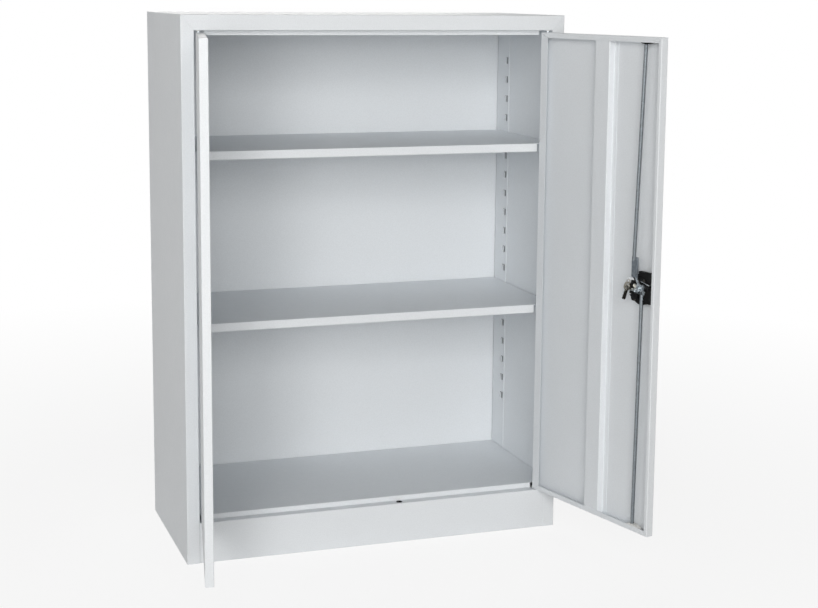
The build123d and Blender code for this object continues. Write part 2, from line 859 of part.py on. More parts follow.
def key(side, swing):
    """Flat key hanging from the lowest point of the ring, turned about the wire."""
    x, y, z = ring_middle()
    hang = Pos(x + side * (key_sheet + key_gap) / 2, y, z - ring_radius) * Rot(swing, 0, 0)
    hole_z = -(key_hole - 2 * ring_wire)
    bow_z = hole_z - key_bow / 2
    bow = extrude(Plane.YZ * Pos(0, bow_z) * Circle(key_bow), key_sheet / 2, both=True)
    eye = extrude(Plane.YZ * Pos(0, hole_z) * Circle(key_hole), key_sheet, both=True)
    low = bow_z - key_bow - blade_length
    half = blade_width / 2
    cuts = Polyline(
        (-half, bow_z),
        (-half, low + half),
        (0, low),
        (half, low + half),
        (half / 3, low + 2 * half),
        (half, low + 3 * half),
        (half / 2, low + 4 * half),
        (half, low + 5 * half),
        (half, bow_z),
        close=True,
    )
    blade = extrude(Plane.YZ * make_face(cuts), key_sheet / 2, both=True)
    return hang * (bow + blade - eye)


def first_key():
    """Key nearer the door."""
    return key(-1, first_key_swing)


def second_key():
    """Key that is swung away from the door."""
    return key(1, second_key_swing)


def open_right(shape):
    """Right-door piece turned to its rest pose."""
    axis = Pos(hinge_x, hinge_setback, 0)
    return axis * Rot(0, 0, right_door_open) * axis.inverse() * shape


def open_left(shape):
    """Right-door piece carried over to the left door and turned to its rest pose."""
    axis = Pos(-hinge_x, hinge_setback, 0)
    return axis * Rot(0, 0, -left_door_open) * axis.inverse() * mirrored(shape)


right_side = side_panel()
front_upright = slotted_upright(front_upright_y)
rear_upright = slotted_upright(rear_upright_y)
panel = door_panel()
stiffener = door_stiffener()
pins = door_pins()

pieces = {
    "left_side_panel": mirrored(right_side),
    "right_side_panel": right_side,
    "back_panel": back_panel(),
    "top_panel": top_panel(),
    "floor_panel": floor_panel(),
    "plinth_panel": plinth_panel(),
    "base_frame": base_frame(),
    "left_front_upright": mirrored(front_upright),
    "left_rear_upright": mirrored(rear_upright),
    "right_front_upright": front_upright,
    "right_rear_upright": rear_upright,
    "lower_shelf": shelf(lower_shelf_top),
    "upper_shelf": shelf(upper_shelf_top),
    "lower_shelf_clips": shelf_clips(lower_shelf_top),
    "upper_shelf_clips": shelf_clips(upper_shelf_top),
    "hinge_bushes": hinge_bushes(),
    "left_door_panel": open_left(panel),
    "left_door_stiffener": open_left(stiffener),
    "left_door_pins": open_left(pins),
    "right_door_panel": open_right(lock_door_panel()),
    "right_door_stiffener": open_right(stiffener),
    "right_door_pins": open_right(pins),
    "lock_cup": open_right(lock_cup()),
    "lock_case": open_right(lock_case()),
    "lock_case_screws": open_right(case_screws()),
    "upper_rod_guide": open_right(upper_rod_guide()),
    "lower_rod_guide": open_right(lower_rod_guide()),
    "turn_handle": open_right(turn_handle()),
    "lock_spindle": open_right(spindle()),
    "lock_cam": open_right(lock_cam()),
    "key_plug": open_right(key_plug()),
    "upper_lock_rod": open_right(lock_rod(upper_rod_ends())),
    "upper_rod_strap": open_right(upper_strap()),
    "lower_lock_rod": open_right(lock_rod(lower_rod_ends())),
    "lower_rod_strap": open_right(lower_strap()),
    "key_ring": open_right(key_ring()),
    "first_key": open_right(first_key()),
    "second_key": open_right(second_key()),
}

base_middle = Pos(0, -depth / 2, 0)
os.makedirs("parts", exist_ok=True)
for name, piece in pieces.items():
    export_step(base_middle * piece, f"parts/{name}.step")
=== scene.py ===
"""Finishes, lock furniture and studio for a low two-door steel cabinet."""

import json
import logging
import math
from collections.abc import Callable, Iterator
from contextlib import contextmanager
from dataclasses import dataclass, field, replace
from enum import Enum
from functools import cached_property

import bpy
from mathutils import Matrix, Vector


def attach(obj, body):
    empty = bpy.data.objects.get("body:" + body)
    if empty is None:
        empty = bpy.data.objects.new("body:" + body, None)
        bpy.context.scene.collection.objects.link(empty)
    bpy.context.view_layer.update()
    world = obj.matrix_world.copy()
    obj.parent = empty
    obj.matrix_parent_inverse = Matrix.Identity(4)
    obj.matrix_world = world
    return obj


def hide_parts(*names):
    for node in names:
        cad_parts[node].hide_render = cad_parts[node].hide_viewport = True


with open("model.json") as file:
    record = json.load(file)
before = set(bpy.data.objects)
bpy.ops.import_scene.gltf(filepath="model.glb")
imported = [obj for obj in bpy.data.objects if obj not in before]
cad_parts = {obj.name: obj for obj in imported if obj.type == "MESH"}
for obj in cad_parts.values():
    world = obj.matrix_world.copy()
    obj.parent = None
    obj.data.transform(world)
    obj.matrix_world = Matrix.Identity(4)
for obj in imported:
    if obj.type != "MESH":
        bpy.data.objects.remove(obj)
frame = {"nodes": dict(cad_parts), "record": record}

log = logging.getLogger("cabinet")
logging.basicConfig(level=logging.INFO, format="%(name)s: %(message)s")

Colour = tuple[float, float, float]
Point = tuple[float, float, float]
Span = tuple[float, float]

WHITE = (1.0, 1.0, 1.0)
INWARDS = (0, 1, 0)
OUTWARDS = (0, -1, 0)


class Slot(Enum):
    """Named finishes of the cabinet."""

    CARCASS = "carcass_coating"
    DOOR = "door_coating"
    ZINC = "zinc_plate"
    BLACK = "black_plastic"
    PALE = "pale_plastic"
    NICKEL = "nickel_plate"


class Shade(Enum):
    """Darker copies of the coated and plated finishes, which paint shade and dark reflections onto faces."""

    # Painted shade on the floors of the upright slots.
    HOLLOW = "hollow"
    # Painted dark reflection on the upper strap's wide plate.
    STRAP = "strap"
    # Painted dark reflection on the lock rods.
    ROD = "rod"
    # Painted shade on the key blades; the case screws wear it all over.
    BLADE = "blade"


@dataclass(frozen=True)
class Noise:
    """Noise: features per metre, octaves, strength of the finer ones and factor along each axis."""

    scale: float
    detail: float = 3.0
    rough: float = 0.55
    stretch: Point = (1.0, 1.0, 1.0)


@dataclass(frozen=True)
class Relief:
    """Relief: depth in metres and the share of it that shows."""

    depth: float
    strength: float


class Weave:
    """Small helper that wires the nodes of one material or world."""

    def __init__(self, owner: bpy.types.ID, output: str) -> None:
        """Start with the output node alone.

        Args:
            owner: Material or world whose nodes are wired.
            output: Blender's name for its output node.
        """
        owner.use_nodes = True
        self.owner = owner
        self.tree = owner.node_tree
        self.tree.nodes.clear()
        self.output = self.node(output)

    @classmethod
    def material(cls, name: str) -> "Weave":
        """Start a new material."""
        return cls(bpy.data.materials.new(name), "ShaderNodeOutputMaterial")

    @cached_property
    def place(self) -> bpy.types.NodeSocket:
        """Object coordinates."""
        return self.node("ShaderNodeTexCoord").outputs["Object"]

    def node(self, kind: str, **settings: object) -> bpy.types.Node:
        """Add a node and set its options.

        Args:
            kind: Blender's name for the node type.
            settings: Attributes to set on it.

        Returns:
            The new node.
        """
        made = self.tree.nodes.new(kind)
        for key, value in settings.items():
            setattr(made, key, value)
        return made

    def link(self, source: bpy.types.NodeSocket, target: bpy.types.NodeSocket) -> None:
        """Join two sockets."""
        self.tree.links.new(source, target)

    def feed(self, target: bpy.types.NodeSocket, value: object) -> None:
        """Set a socket, or join it to the socket that is given.

        Args:
            target: Socket to feed.
            value: Value written out, or the socket that it comes from.
        """
        if isinstance(value, bpy.types.NodeSocket):
            self.link(value, target)
        else:
            target.default_value = value

    def stretched(self, scale: Point) -> bpy.types.NodeSocket:
        """Object coordinates stretched along the axes.

        Args:
            scale: Factor along X, Y and Z.

        Returns:
            The stretched coordinates.
        """
        mapping = self.node("ShaderNodeMapping")
        mapping.inputs["Scale"].default_value = scale
        self.link(self.place, mapping.inputs["Vector"])
        return mapping.outputs["Vector"]

    def noise(self, noise: Noise) -> bpy.types.NodeSocket:
        """Noise on object coordinates.

        Args:
            noise: Its settings.

        Returns:
            The noise value, around 0.5.
        """
        made = self.node("ShaderNodeTexNoise")
        made.inputs["Scale"].default_value = noise.scale
        made.inputs["Detail"].default_value = noise.detail
        made.inputs["Roughness"].default_value = noise.rough
        self.link(self.stretched(noise.stretch), made.inputs["Vector"])
        return made.outputs["Fac"]

    def cells(self, scale: float) -> bpy.types.NodeSocket:
        """Distance to the nearest of many scattered points.

        Args:
            scale: Points per metre.

        Returns:
            The distance value.
        """
        made = self.node("ShaderNodeTexVoronoi")
        made.inputs["Scale"].default_value = scale
        self.link(self.stretched((1.0, 1.0, 1.0)), made.inputs["Vector"])
        return made.outputs["Distance"]

    def ranged(self, value: bpy.types.NodeSocket, result: Span = (0.0, 1.0),
               source: Span = (0.35, 0.65)) -> bpy.types.NodeSocket:
        """Spread a narrow range of values onto another range.

        Args:
            value: Value to spread.
            result: Results at both ends of the range, and beyond them.
            source: Values where the range starts and ends.

        Returns:
            The spread value.
        """
        made = self.node("ShaderNodeMapRange")
        made.inputs["From Min"].default_value, made.inputs["From Max"].default_value = source
        made.inputs["To Min"].default_value, made.inputs["To Max"].default_value = result
        self.link(value, made.inputs["Value"])
        return made.outputs["Result"]

    def varied(self, noise: Noise, middle: float, spread: Span) -> bpy.types.NodeSocket:
        """A value that a noise lowers and raises.

        Args:
            noise: The noise.
            middle: Value without the noise.
            spread: Lowest and highest change.

        Returns:
            The varied value.
        """
        return self.ranged(self.noise(noise), (middle + spread[0], middle + spread[1]))

    def blended(self, share: object, first: object, second: object) -> bpy.types.NodeSocket:
        """Mix two colours; each value is written out or comes from a socket.

        Args:
            share: Share of the second colour.
            first: First colour.
            second: Second colour.

        Returns:
            The mixed colour.
        """
        made = self.node("ShaderNodeMix", data_type="RGBA")
        self.feed(made.inputs["Factor"], share)
        for value, socket in ((first, made.inputs["A"]), (second, made.inputs["B"])):
            self.feed(socket, (*value, 1.0) if isinstance(value, tuple) else value)
        return made.outputs["Result"]

    def bumped(self, height: bpy.types.NodeSocket, relief: Relief,
               below: bpy.types.NodeSocket | None = None) -> bpy.types.NodeSocket:
        """Relief from a height.

        Args:
            height: Height between 0 and 1.
            relief: Its depth and strength.
            below: Relief that this one lies on.

        Returns:
            The bumped normal.
        """
        made = self.node("ShaderNodeBump")
        made.inputs["Strength"].default_value = relief.strength
        made.inputs["Distance"].default_value = relief.depth
        self.link(height, made.inputs["Height"])
        if below is not None:
            self.link(below, made.inputs["Normal"])
        return made.outputs["Normal"]

    def maths(self, operation: str, *values: object) -> bpy.types.NodeSocket:
        """Work out a number; each value is written out or comes from a socket.

        Args:
            operation: Blender's name for the operation.
            values: What it works on.

        Returns:
            The result.
        """
        made = self.node("ShaderNodeMath", operation=operation)
        for socket, value in zip(made.inputs, values):
            self.feed(socket, value)
        return made.outputs["Value"]

    def surface(self, **values: float) -> bpy.types.Node:
        """Add the main shader.

        Args:
            values: Constants set on its own sockets, with underscores for spaces.

        Returns:
            The shader node.
        """
        shader = self.node("ShaderNodeBsdfPrincipled")
        for key, value in values.items():
            shader.inputs[key.replace("_", " ")].default_value = value
        self.link(shader.outputs["BSDF"], self.output.inputs["Surface"])
        return shader

    def shown(self, share: bpy.types.NodeSocket, first: bpy.types.NodeSocket, second: bpy.types.NodeSocket) -> None:
        """Mix two shaders and lead them to the output.

        Args:
            share: Share of the second shader.
            first: First shader.
            second: Second shader.
        """
        mix = self.node("ShaderNodeMixShader")
        for socket, source in zip(mix.inputs, (share, first, second)):
            self.link(source, socket)
        self.link(mix.outputs["Shader"], self.output.inputs["Surface"])


def tone(colour: Colour, factor: float) -> Colour:
    """Lighten or darken a colour, kept within 0 to 1."""
    return tuple(min(1.0, part * factor) for part in colour)


@dataclass(frozen=True)
class PowderCoat:
    """Baked fine-texture powder coat on sheet steel."""

    name: str
    colour: Colour
    roughness: float = 0.5
    index: float = 1.5
    drift: float = 0.02
    drift_noise: Noise = Noise(2.2, 2.0)
    drift_range: Span = (0.35, 0.65)
    speckle: float = 0.05
    speckle_noise: Noise = Noise(420.0, 4.0, 0.7)
    speckle_range: Span = (0.38, 0.62)
    speckle_share: float = 0.55
    pebble_noise: Noise = Noise(900.0, 3.0, 0.6)
    pebble_range: Span = (0.3, 0.7)
    pebble: Relief = Relief(0.00022, 0.5)
    peel_noise: Noise = Noise(160.0, 2.0)
    peel: Relief = Relief(0.0002, 0.25)
    gloss_noise: Noise = Noise(60.0, 2.0)
    gloss_spread: Span = (-0.05, 0.06)

    def toned(self, weave: Weave, noise: Noise, source: Span, swing: float) -> bpy.types.NodeSocket:
        """The coat's colour, darker and lighter with a noise.

        Args:
            weave: Helper of the material.
            noise: The noise.
            source: Values of the noise where the colour is darkest and lightest.
            swing: Share by which the colour changes each way.

        Returns:
            The toned colour.
        """
        share = weave.ranged(weave.noise(noise), source=source)
        return weave.blended(share, tone(self.colour, 1 - swing), tone(self.colour, 1 + swing))

    def build(self) -> bpy.types.Material:
        """Make the material.

        Returns:
            Coat with drift, speckle and a pebbled grain.
        """
        weave = Weave.material(self.name)
        shader = weave.surface(IOR=self.index)
        base = self.toned(weave, self.drift_noise, self.drift_range, self.drift)
        flecks = self.toned(weave, self.speckle_noise, self.speckle_range, self.speckle)
        weave.link(weave.blended(self.speckle_share, base, flecks), shader.inputs["Base Color"])
        pebbles = weave.ranged(weave.noise(self.pebble_noise), source=self.pebble_range)
        peel = weave.bumped(weave.noise(self.peel_noise), self.peel)
        weave.link(weave.bumped(pebbles, self.pebble, peel), shader.inputs["Normal"])
        weave.link(weave.varied(self.gloss_noise, self.roughness, self.gloss_spread), shader.inputs["Roughness"])
        return weave.owner


@dataclass(frozen=True)
class PlatedSteel:
    """Zinc or nickel plating over rolled steel."""

    name: str
    colour: Colour
    shade: Colour
    roughness: float
    cloud_noise: Noise = Noise(140.0, 4.0, 0.65)
    streak_noise: Noise = Noise(1600.0, 3.0, 0.6, (1.0, 1.0, 0.06))
    streak: Relief = Relief(0.00005, 0.35)
    gloss_noise: Noise = Noise(320.0)
    gloss_spread: Span = (-0.08, 0.1)

    def build(self) -> bpy.types.Material:
        """Make the material.

        Returns:
            Metal with clouded tone and fine rolling lines.
        """
        weave = Weave.material(self.name)
        shader = weave.surface(Metallic=1.0)
        cloud = weave.ranged(weave.noise(self.cloud_noise))
        weave.link(weave.blended(cloud, self.shade, self.colour), shader.inputs["Base Color"])
        weave.link(weave.varied(self.gloss_noise, self.roughness, self.gloss_spread), shader.inputs["Roughness"])
        weave.link(weave.bumped(weave.noise(self.streak_noise), self.streak), shader.inputs["Normal"])
        return weave.owner


@dataclass(frozen=True)
class MouldedPlastic:
    """Injection-moulded plastic with a spark-eroded grain."""

    name: str
    colour: Colour
    rubbed: Colour
    roughness: float = 0.5
    gloss: float = 0.5
    index: float = 1.49
    rub_noise: Noise = Noise(55.0, 5.0, 0.7)
    rub_range: Span = (0.5, 0.75)
    gloss_noise: Noise = Noise(240.0, 2.0)
    gloss_spread: Span = (-0.06, 0.08)
    grain_scale: float = 1500.0
    grain: Relief = Relief(0.00006, 0.4)

    def build(self) -> bpy.types.Material:
        """Make the material.

        Returns:
            Plastic with a fine grain and faint rub marks.
        """
        weave = Weave.material(self.name)
        shader = weave.surface(IOR=self.index, Specular_IOR_Level=self.gloss)
        rub = weave.ranged(weave.noise(self.rub_noise), source=self.rub_range)
        weave.link(weave.blended(rub, self.colour, self.rubbed), shader.inputs["Base Color"])
        weave.link(weave.varied(self.gloss_noise, self.roughness, self.gloss_spread), shader.inputs["Roughness"])
        weave.link(weave.bumped(weave.cells(self.grain_scale), self.grain), shader.inputs["Normal"])
        return weave.owner


@dataclass
class Palette:
    """All the finishes, made once."""

    coat: Colour = (0.765, 0.797, 0.826)
    made: dict[Slot | Shade, bpy.types.Material] = field(default_factory=dict)

    def mix(self) -> None:
        """Build every finish."""
        recipes = {
            Slot.CARCASS: PowderCoat("carcass_coating", self.coat),
            Slot.DOOR: PowderCoat("door_coating", self.coat),
            Slot.ZINC: PlatedSteel("zinc_plate", (0.80, 0.84, 0.87), (0.50, 0.55, 0.58), roughness=0.30),
            Slot.BLACK: MouldedPlastic("black_plastic", (0.004, 0.004, 0.0045), (0.009, 0.009, 0.0095), gloss=0.16),
            Slot.PALE: MouldedPlastic("pale_plastic", (0.70, 0.70, 0.68), (0.62, 0.62, 0.60)),
            Slot.NICKEL: PlatedSteel("nickel_plate", (0.58, 0.54, 0.47), (0.28, 0.26, 0.215), roughness=0.30),
            # Near-black coat painted on the slot floors as shade.
            Shade.HOLLOW: PowderCoat("slot_shade_coating", (0.20, 0.21, 0.22)),
            # Darker, rougher zinc for the strap's wide plate: painted shade standing for its dark reflection.
            Shade.STRAP: PlatedSteel("zinc_plate_strap_shaded", (0.34, 0.375, 0.41), (0.24, 0.265, 0.295), roughness=0.5),
            # Darker, rougher zinc for the lock rods: painted shade standing for their dark reflection.
            Shade.ROD: PlatedSteel("zinc_plate_rod_shaded", (0.25, 0.275, 0.295), (0.19, 0.21, 0.225), roughness=0.62),
            # Near-black nickel: painted shade on the key blades, also put on the whole of the case screws.
            Shade.BLADE: PlatedSteel("nickel_plate_shaded", (0.085, 0.08, 0.07), (0.03, 0.028, 0.024), roughness=0.36),
        }
        for choice, recipe in recipes.items():
            self.made[choice] = recipe.build()
            log.info("finish %s", recipe.name)

    def hang(self, piece: bpy.types.Object, body: str, slot: Slot, *nodes: str, shade: Shade | None = None,
             shaded: Callable[[bpy.types.MeshPolygon], bool] | None = None) -> None:
        """Dress a finished piece and hang it on its body.

        Args:
            piece: Finished piece.
            body: Body that it moves with.
            slot: Finish that it takes.
            nodes: Solids that it stands for.
            shade: Darker copy of a finish, painted shade that some of its faces wear in place of the slot's own
                finish.
            shaded: Tells which faces wear the variant.
        """
        piece.data.materials.clear()
        piece.data.materials.append(self.made[slot])
        if shade is not None:
            piece.data.materials.append(self.made[shade])
            # Faces that the mask picks wear the darker copy: painted shade.
            for face in piece.data.polygons:
                face.material_index = int(shaded(face))
        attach(piece, body)
        for node in nodes:
            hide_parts(node)
        log.info("made %s on %s", piece.name, body)


@dataclass
class Dresser:
    """Gives the carried-over solids their finishes."""

    palette: Palette

    def slot_of(self, node: str) -> Slot:
        """Find the slot that the record gives a solid.

        Args:
            node: Name of the solid.

        Returns:
            Its slot.
        """
        for entry in frame["record"]["subparts"]:
            if node == entry["node"]:
                return Slot(entry["material_slot"])
        raise KeyError(node)

    def dress(self) -> None:
        """Put the finish on every solid."""
        for name, solid in frame["nodes"].items():
            slot = self.slot_of(name)
            if not solid.material_slots:
                solid.data.materials.append(self.palette.made[slot])
            for place in solid.material_slots:
                place.material = self.palette.made[slot]
            log.info("dressed %s in %s", name, slot.value)


@dataclass(frozen=True)
class Edge:
    """Rounded edge: its width, the steps round it and the least angle in degrees that is rounded."""

    width: float
    steps: int = 2
    sharp: float = 34.0


@dataclass(frozen=True)
class Sunk:
    """Sunk panel: the border that stays, the depth, and the least area of its face in square millimetres."""

    border: float
    depth: float
    least: float = 100.0


def metres(place: Point) -> Point:
    """A place in millimetres as metres."""
    return tuple(value / 1000 for value in place)


class Bench:
    """Modelling steps that the pieces share; all places and sizes are in millimetres."""

    @staticmethod
    def clear() -> None:
        """Leave edit mode and select nothing."""
        if bpy.context.object is not None and bpy.context.object.mode != "OBJECT":
            bpy.ops.object.mode_set(mode="OBJECT")
        bpy.ops.object.select_all(action="DESELECT")

    @staticmethod
    def pick(piece: bpy.types.Object) -> None:
        """Select one piece alone and make it active.

        Args:
            piece: The piece.
        """
        Bench.clear()
        piece.select_set(True)
        bpy.context.view_layer.objects.active = piece

    @staticmethod
    @contextmanager
    def editing(piece: bpy.types.Object, whole: bool = False) -> Iterator[None]:
        """Edit mode on one piece, left again at the end.

        Args:
            piece: Piece to edit.
            whole: Whether all of it is selected first.

        Yields:
            Nothing, in edit mode.
        """
        Bench.pick(piece)
        bpy.ops.object.mode_set(mode="EDIT")
        if whole:
            bpy.ops.mesh.select_all(action="SELECT")
        yield
        bpy.ops.object.mode_set(mode="OBJECT")

    @staticmethod
    def settle(name: str) -> bpy.types.Object:
        """Name the newest piece and put its place into its mesh.

        Args:
            name: Name of the piece.

        Returns:
            The piece, with its object at the origin.
        """
        made = bpy.context.object
        made.name = name
        made.data.name = name
        bpy.ops.object.transform_apply(location=True, rotation=True, scale=True)
        return made

    @staticmethod
    def block(name: str, low: Point, high: Point) -> bpy.types.Object:
        """Add a block between two corners.

        Args:
            name: Name of the piece.
            low: Lowest corner.
            high: Highest corner.

        Returns:
            The block.
        """
        Bench.clear()
        ends = list(zip(metres(low), metres(high)))
        middle = tuple((a + b) / 2 for a, b in ends)
        bpy.ops.mesh.primitive_cube_add(size=1.0, location=middle, scale=tuple(b - a for a, b in ends))
        return Bench.settle(name)

    @staticmethod
    def round(name: str, start: Point, end: Point, radius: float, sides: int = 48) -> bpy.types.Object:
        """Add a round bar between two points.

        Args:
            name: Name of the piece.
            start: Middle of one end.
            end: Middle of the other end.
            radius: Radius of the bar.
            sides: Number of flats round it.

        Returns:
            The bar.
        """
        Bench.clear()
        start, end = Vector(metres(start)), Vector(metres(end))
        turn = (end - start).to_track_quat("Z", "X").to_euler()
        bpy.ops.mesh.primitive_cylinder_add(
            vertices=sides, radius=radius / 1000, depth=(end - start).length, location=(start + end) / 2,
            rotation=turn)
        return Bench.settle(name)

    @staticmethod
    def hoop(name: str, middle: Point, axis: Point, radius: float, wire: float) -> bpy.types.Object:
        """Add a ring of round wire.

        Args:
            name: Name of the piece.
            middle: Centre of the ring.
            axis: Direction that the ring goes round.
            radius: Radius to the middle of the wire.
            wire: Radius of the wire.

        Returns:
            The ring.
        """
        Bench.clear()
        bpy.ops.mesh.primitive_torus_add(
            location=metres(middle), rotation=Vector(axis).to_track_quat("Z", "X").to_euler(),
            major_radius=radius / 1000, minor_radius=wire / 1000, major_segments=64, minor_segments=16)
        return Bench.settle(name)

    @staticmethod
    def bisect(piece: bpy.types.Object, point: Point, normal: Point) -> None:
        """Cut off all of a piece that lies beyond a plane, and close the cut.

        Args:
            piece: Piece to cut.
            point: Point of the plane.
            normal: Direction in which the waste lies.
        """
        with Bench.editing(piece, whole=True):
            bpy.ops.mesh.bisect(plane_co=metres(point), plane_no=normal, use_fill=True, clear_outer=True)

    @staticmethod
    def apply(piece: bpy.types.Object, kind: str, **settings: object) -> None:
        """Add one modifier, set it up and apply it.

        Args:
            piece: Piece to change.
            kind: Blender's name for the modifier type.
            settings: Attributes to set on it, in Blender's own units.
        """
        Bench.pick(piece)
        made = piece.modifiers.new(kind.lower(), kind)
        for key, value in settings.items():
            setattr(made, key, value)
        bpy.ops.object.modifier_apply(modifier=made.name)

    @staticmethod
    def combine(piece: bpy.types.Object, operation: str, others: tuple[bpy.types.Object, ...]) -> None:
        """Combine a piece with each of the others, which are used up.

        Args:
            piece: Piece to change.
            operation: Blender's name for the Boolean operation.
            others: Shapes to combine it with.
        """
        for other in others:
            Bench.apply(piece, "BOOLEAN", operation=operation, solver="MANIFOLD", object=other)
            bpy.data.objects.remove(other, do_unlink=True)

    @staticmethod
    def carve(piece: bpy.types.Object, *tools: bpy.types.Object) -> None:
        """Take the shape of each tool out of a piece."""
        Bench.combine(piece, "DIFFERENCE", tools)

    @staticmethod
    def weld(piece: bpy.types.Object, *others: bpy.types.Object) -> None:
        """Grow a piece by each of the others."""
        Bench.combine(piece, "UNION", others)

    @staticmethod
    def gather(piece: bpy.types.Object, *others: bpy.types.Object) -> None:
        """Join loose solids into one piece.

        Args:
            piece: Piece that takes in the others.
            others: Solids to join to it.
        """
        Bench.pick(piece)
        for other in others:
            other.select_set(True)
        bpy.ops.object.join()

    @staticmethod
    def bevel(piece: bpy.types.Object, edge: Edge) -> None:
        """Round the sharp edges of a piece.

        Args:
            piece: Piece to change.
            edge: The rounding.
        """
        Bench.apply(
            piece, "BEVEL", width=edge.width / 1000, segments=edge.steps, limit_method="ANGLE",
            angle_limit=math.radians(edge.sharp))

    @staticmethod
    def soften(piece: bpy.types.Object, edge: Edge, merge: float = 0.005, speck: float = 0.002) -> None:
        """Round the sharp edges of a finished piece, clean it and shade it smooth.

        Args:
            piece: Piece to finish.
            edge: The rounding.
            merge: Points nearer than this are made one before the rounding.
            speck: Faces and edges smaller than this are dissolved after it.
        """
        Bench.apply(piece, "WELD", merge_threshold=merge / 1000)
        Bench.bevel(piece, edge)
        with Bench.editing(piece, whole=True):
            bpy.ops.mesh.dissolve_degenerate(threshold=speck / 1000)
            bpy.ops.mesh.delete_loose()
        bpy.ops.object.shade_smooth_by_angle(angle=math.radians(edge.sharp))

    @staticmethod
    def choose(piece: bpy.types.Object, direction: Point, least: float, straight: float = 0.98) -> None:
        """Select the large faces on one side of a piece and no others.

        Args:
            piece: Piece to look at.
            direction: Direction that the wanted faces point in.
            least: Smallest wanted area in square millimetres.
            straight: Least cosine between a face's normal and the direction.
        """
        with Bench.editing(piece):
            bpy.ops.mesh.select_mode(type="FACE")
            bpy.ops.mesh.select_all(action="DESELECT")
        wanted = Vector(direction).normalized()
        for face in piece.data.polygons:
            face.select = face.normal.dot(wanted) > straight and face.area > least / 1e6

    @staticmethod
    def stretch(piece: bpy.types.Object, middle: float, reach: float, near: float = 0.001) -> None:
        """Pull the two halves of a piece apart along X.

        Args:
            piece: Piece to lengthen.
            middle: Place of its middle along X.
            reach: How far each half moves.
            near: Points nearer than this to the middle stay.
        """
        for sign in (-1, 1):
            for vertex in piece.data.vertices:
                vertex.select = sign * (vertex.co.x - middle / 1000) > near / 1000
            with Bench.editing(piece):
                bpy.ops.mesh.select_mode(type="VERT")
                bpy.ops.transform.translate(value=(sign * reach / 1000, 0.0, 0.0))

    @staticmethod
    def trim(piece: bpy.types.Object, direction: Point, edge: Edge, least: float = 100.0) -> None:
        """Bevel the rim of the large faces on one side of a piece.

        Args:
            piece: Piece to change.
            direction: Direction that the faces point in.
            edge: The bevel.
            least: Smallest wanted area in square millimetres.
        """
        Bench.choose(piece, direction, least)
        with Bench.editing(piece):
            bpy.ops.mesh.bevel(offset=edge.width / 1000, segments=edge.steps, affect="EDGES")

    @staticmethod
    def sink(piece: bpy.types.Object, direction: Point, panel: Sunk) -> None:
        """Sink a bordered panel into the large faces on one side of a piece.

        Args:
            piece: Piece to change.
            direction: Direction that the faces point in.
            panel: The panel.
        """
        Bench.choose(piece, direction, panel.least)
        with Bench.editing(piece):
            bpy.ops.mesh.inset(thickness=panel.border / 1000, depth=-panel.depth / 1000)

    @staticmethod
    def turn(piece: bpy.types.Object, move: Matrix) -> None:
        """Move a piece and put the move into its mesh.

        Args:
            piece: Piece to move.
            move: The move, in metres.
        """
        Bench.pick(piece)
        piece.matrix_world = move
        bpy.ops.object.transform_apply(location=True, rotation=True, scale=True)

    @staticmethod
    def spin(piece: bpy.types.Object, centre: Point, degrees: float, axis: str) -> None:
        """Turn a piece about an axis through a point.

        Args:
            piece: Piece to turn.
            centre: Point that stays.
            degrees: Angle of the turn.
            axis: X, Y or Z.
        """
        middle = Matrix.Translation(metres(centre))
        Bench.turn(piece, middle @ Matrix.Rotation(math.radians(degrees), 4, axis) @ middle.inverted())


@dataclass(frozen=True)
class Plate:
    """Block with cut corners and slanted edges.

    Attributes:
        name: Name of the block.
        x: Its ends across.
        y: Its outer and inner face.
        z: Its ends upwards.
        corner: Leg of the cut at each of its four corners.
        slants: Slanted edges: a point of each and the direction out of it, across and upwards.
    """

    name: str
    x: Span
    y: Span
    z: Span
    corner: float = 0.0
    slants: tuple[tuple[Span, Span], ...] = ()


@dataclass(frozen=True)
class Bar:
    """Round bar that runs inwards: its name, radius, ends, flats round it, and place across and upwards."""

    name: str
    radius: float
    y: Span
    sides: int = 48
    x: float = 0.0
    z: float = 0.0


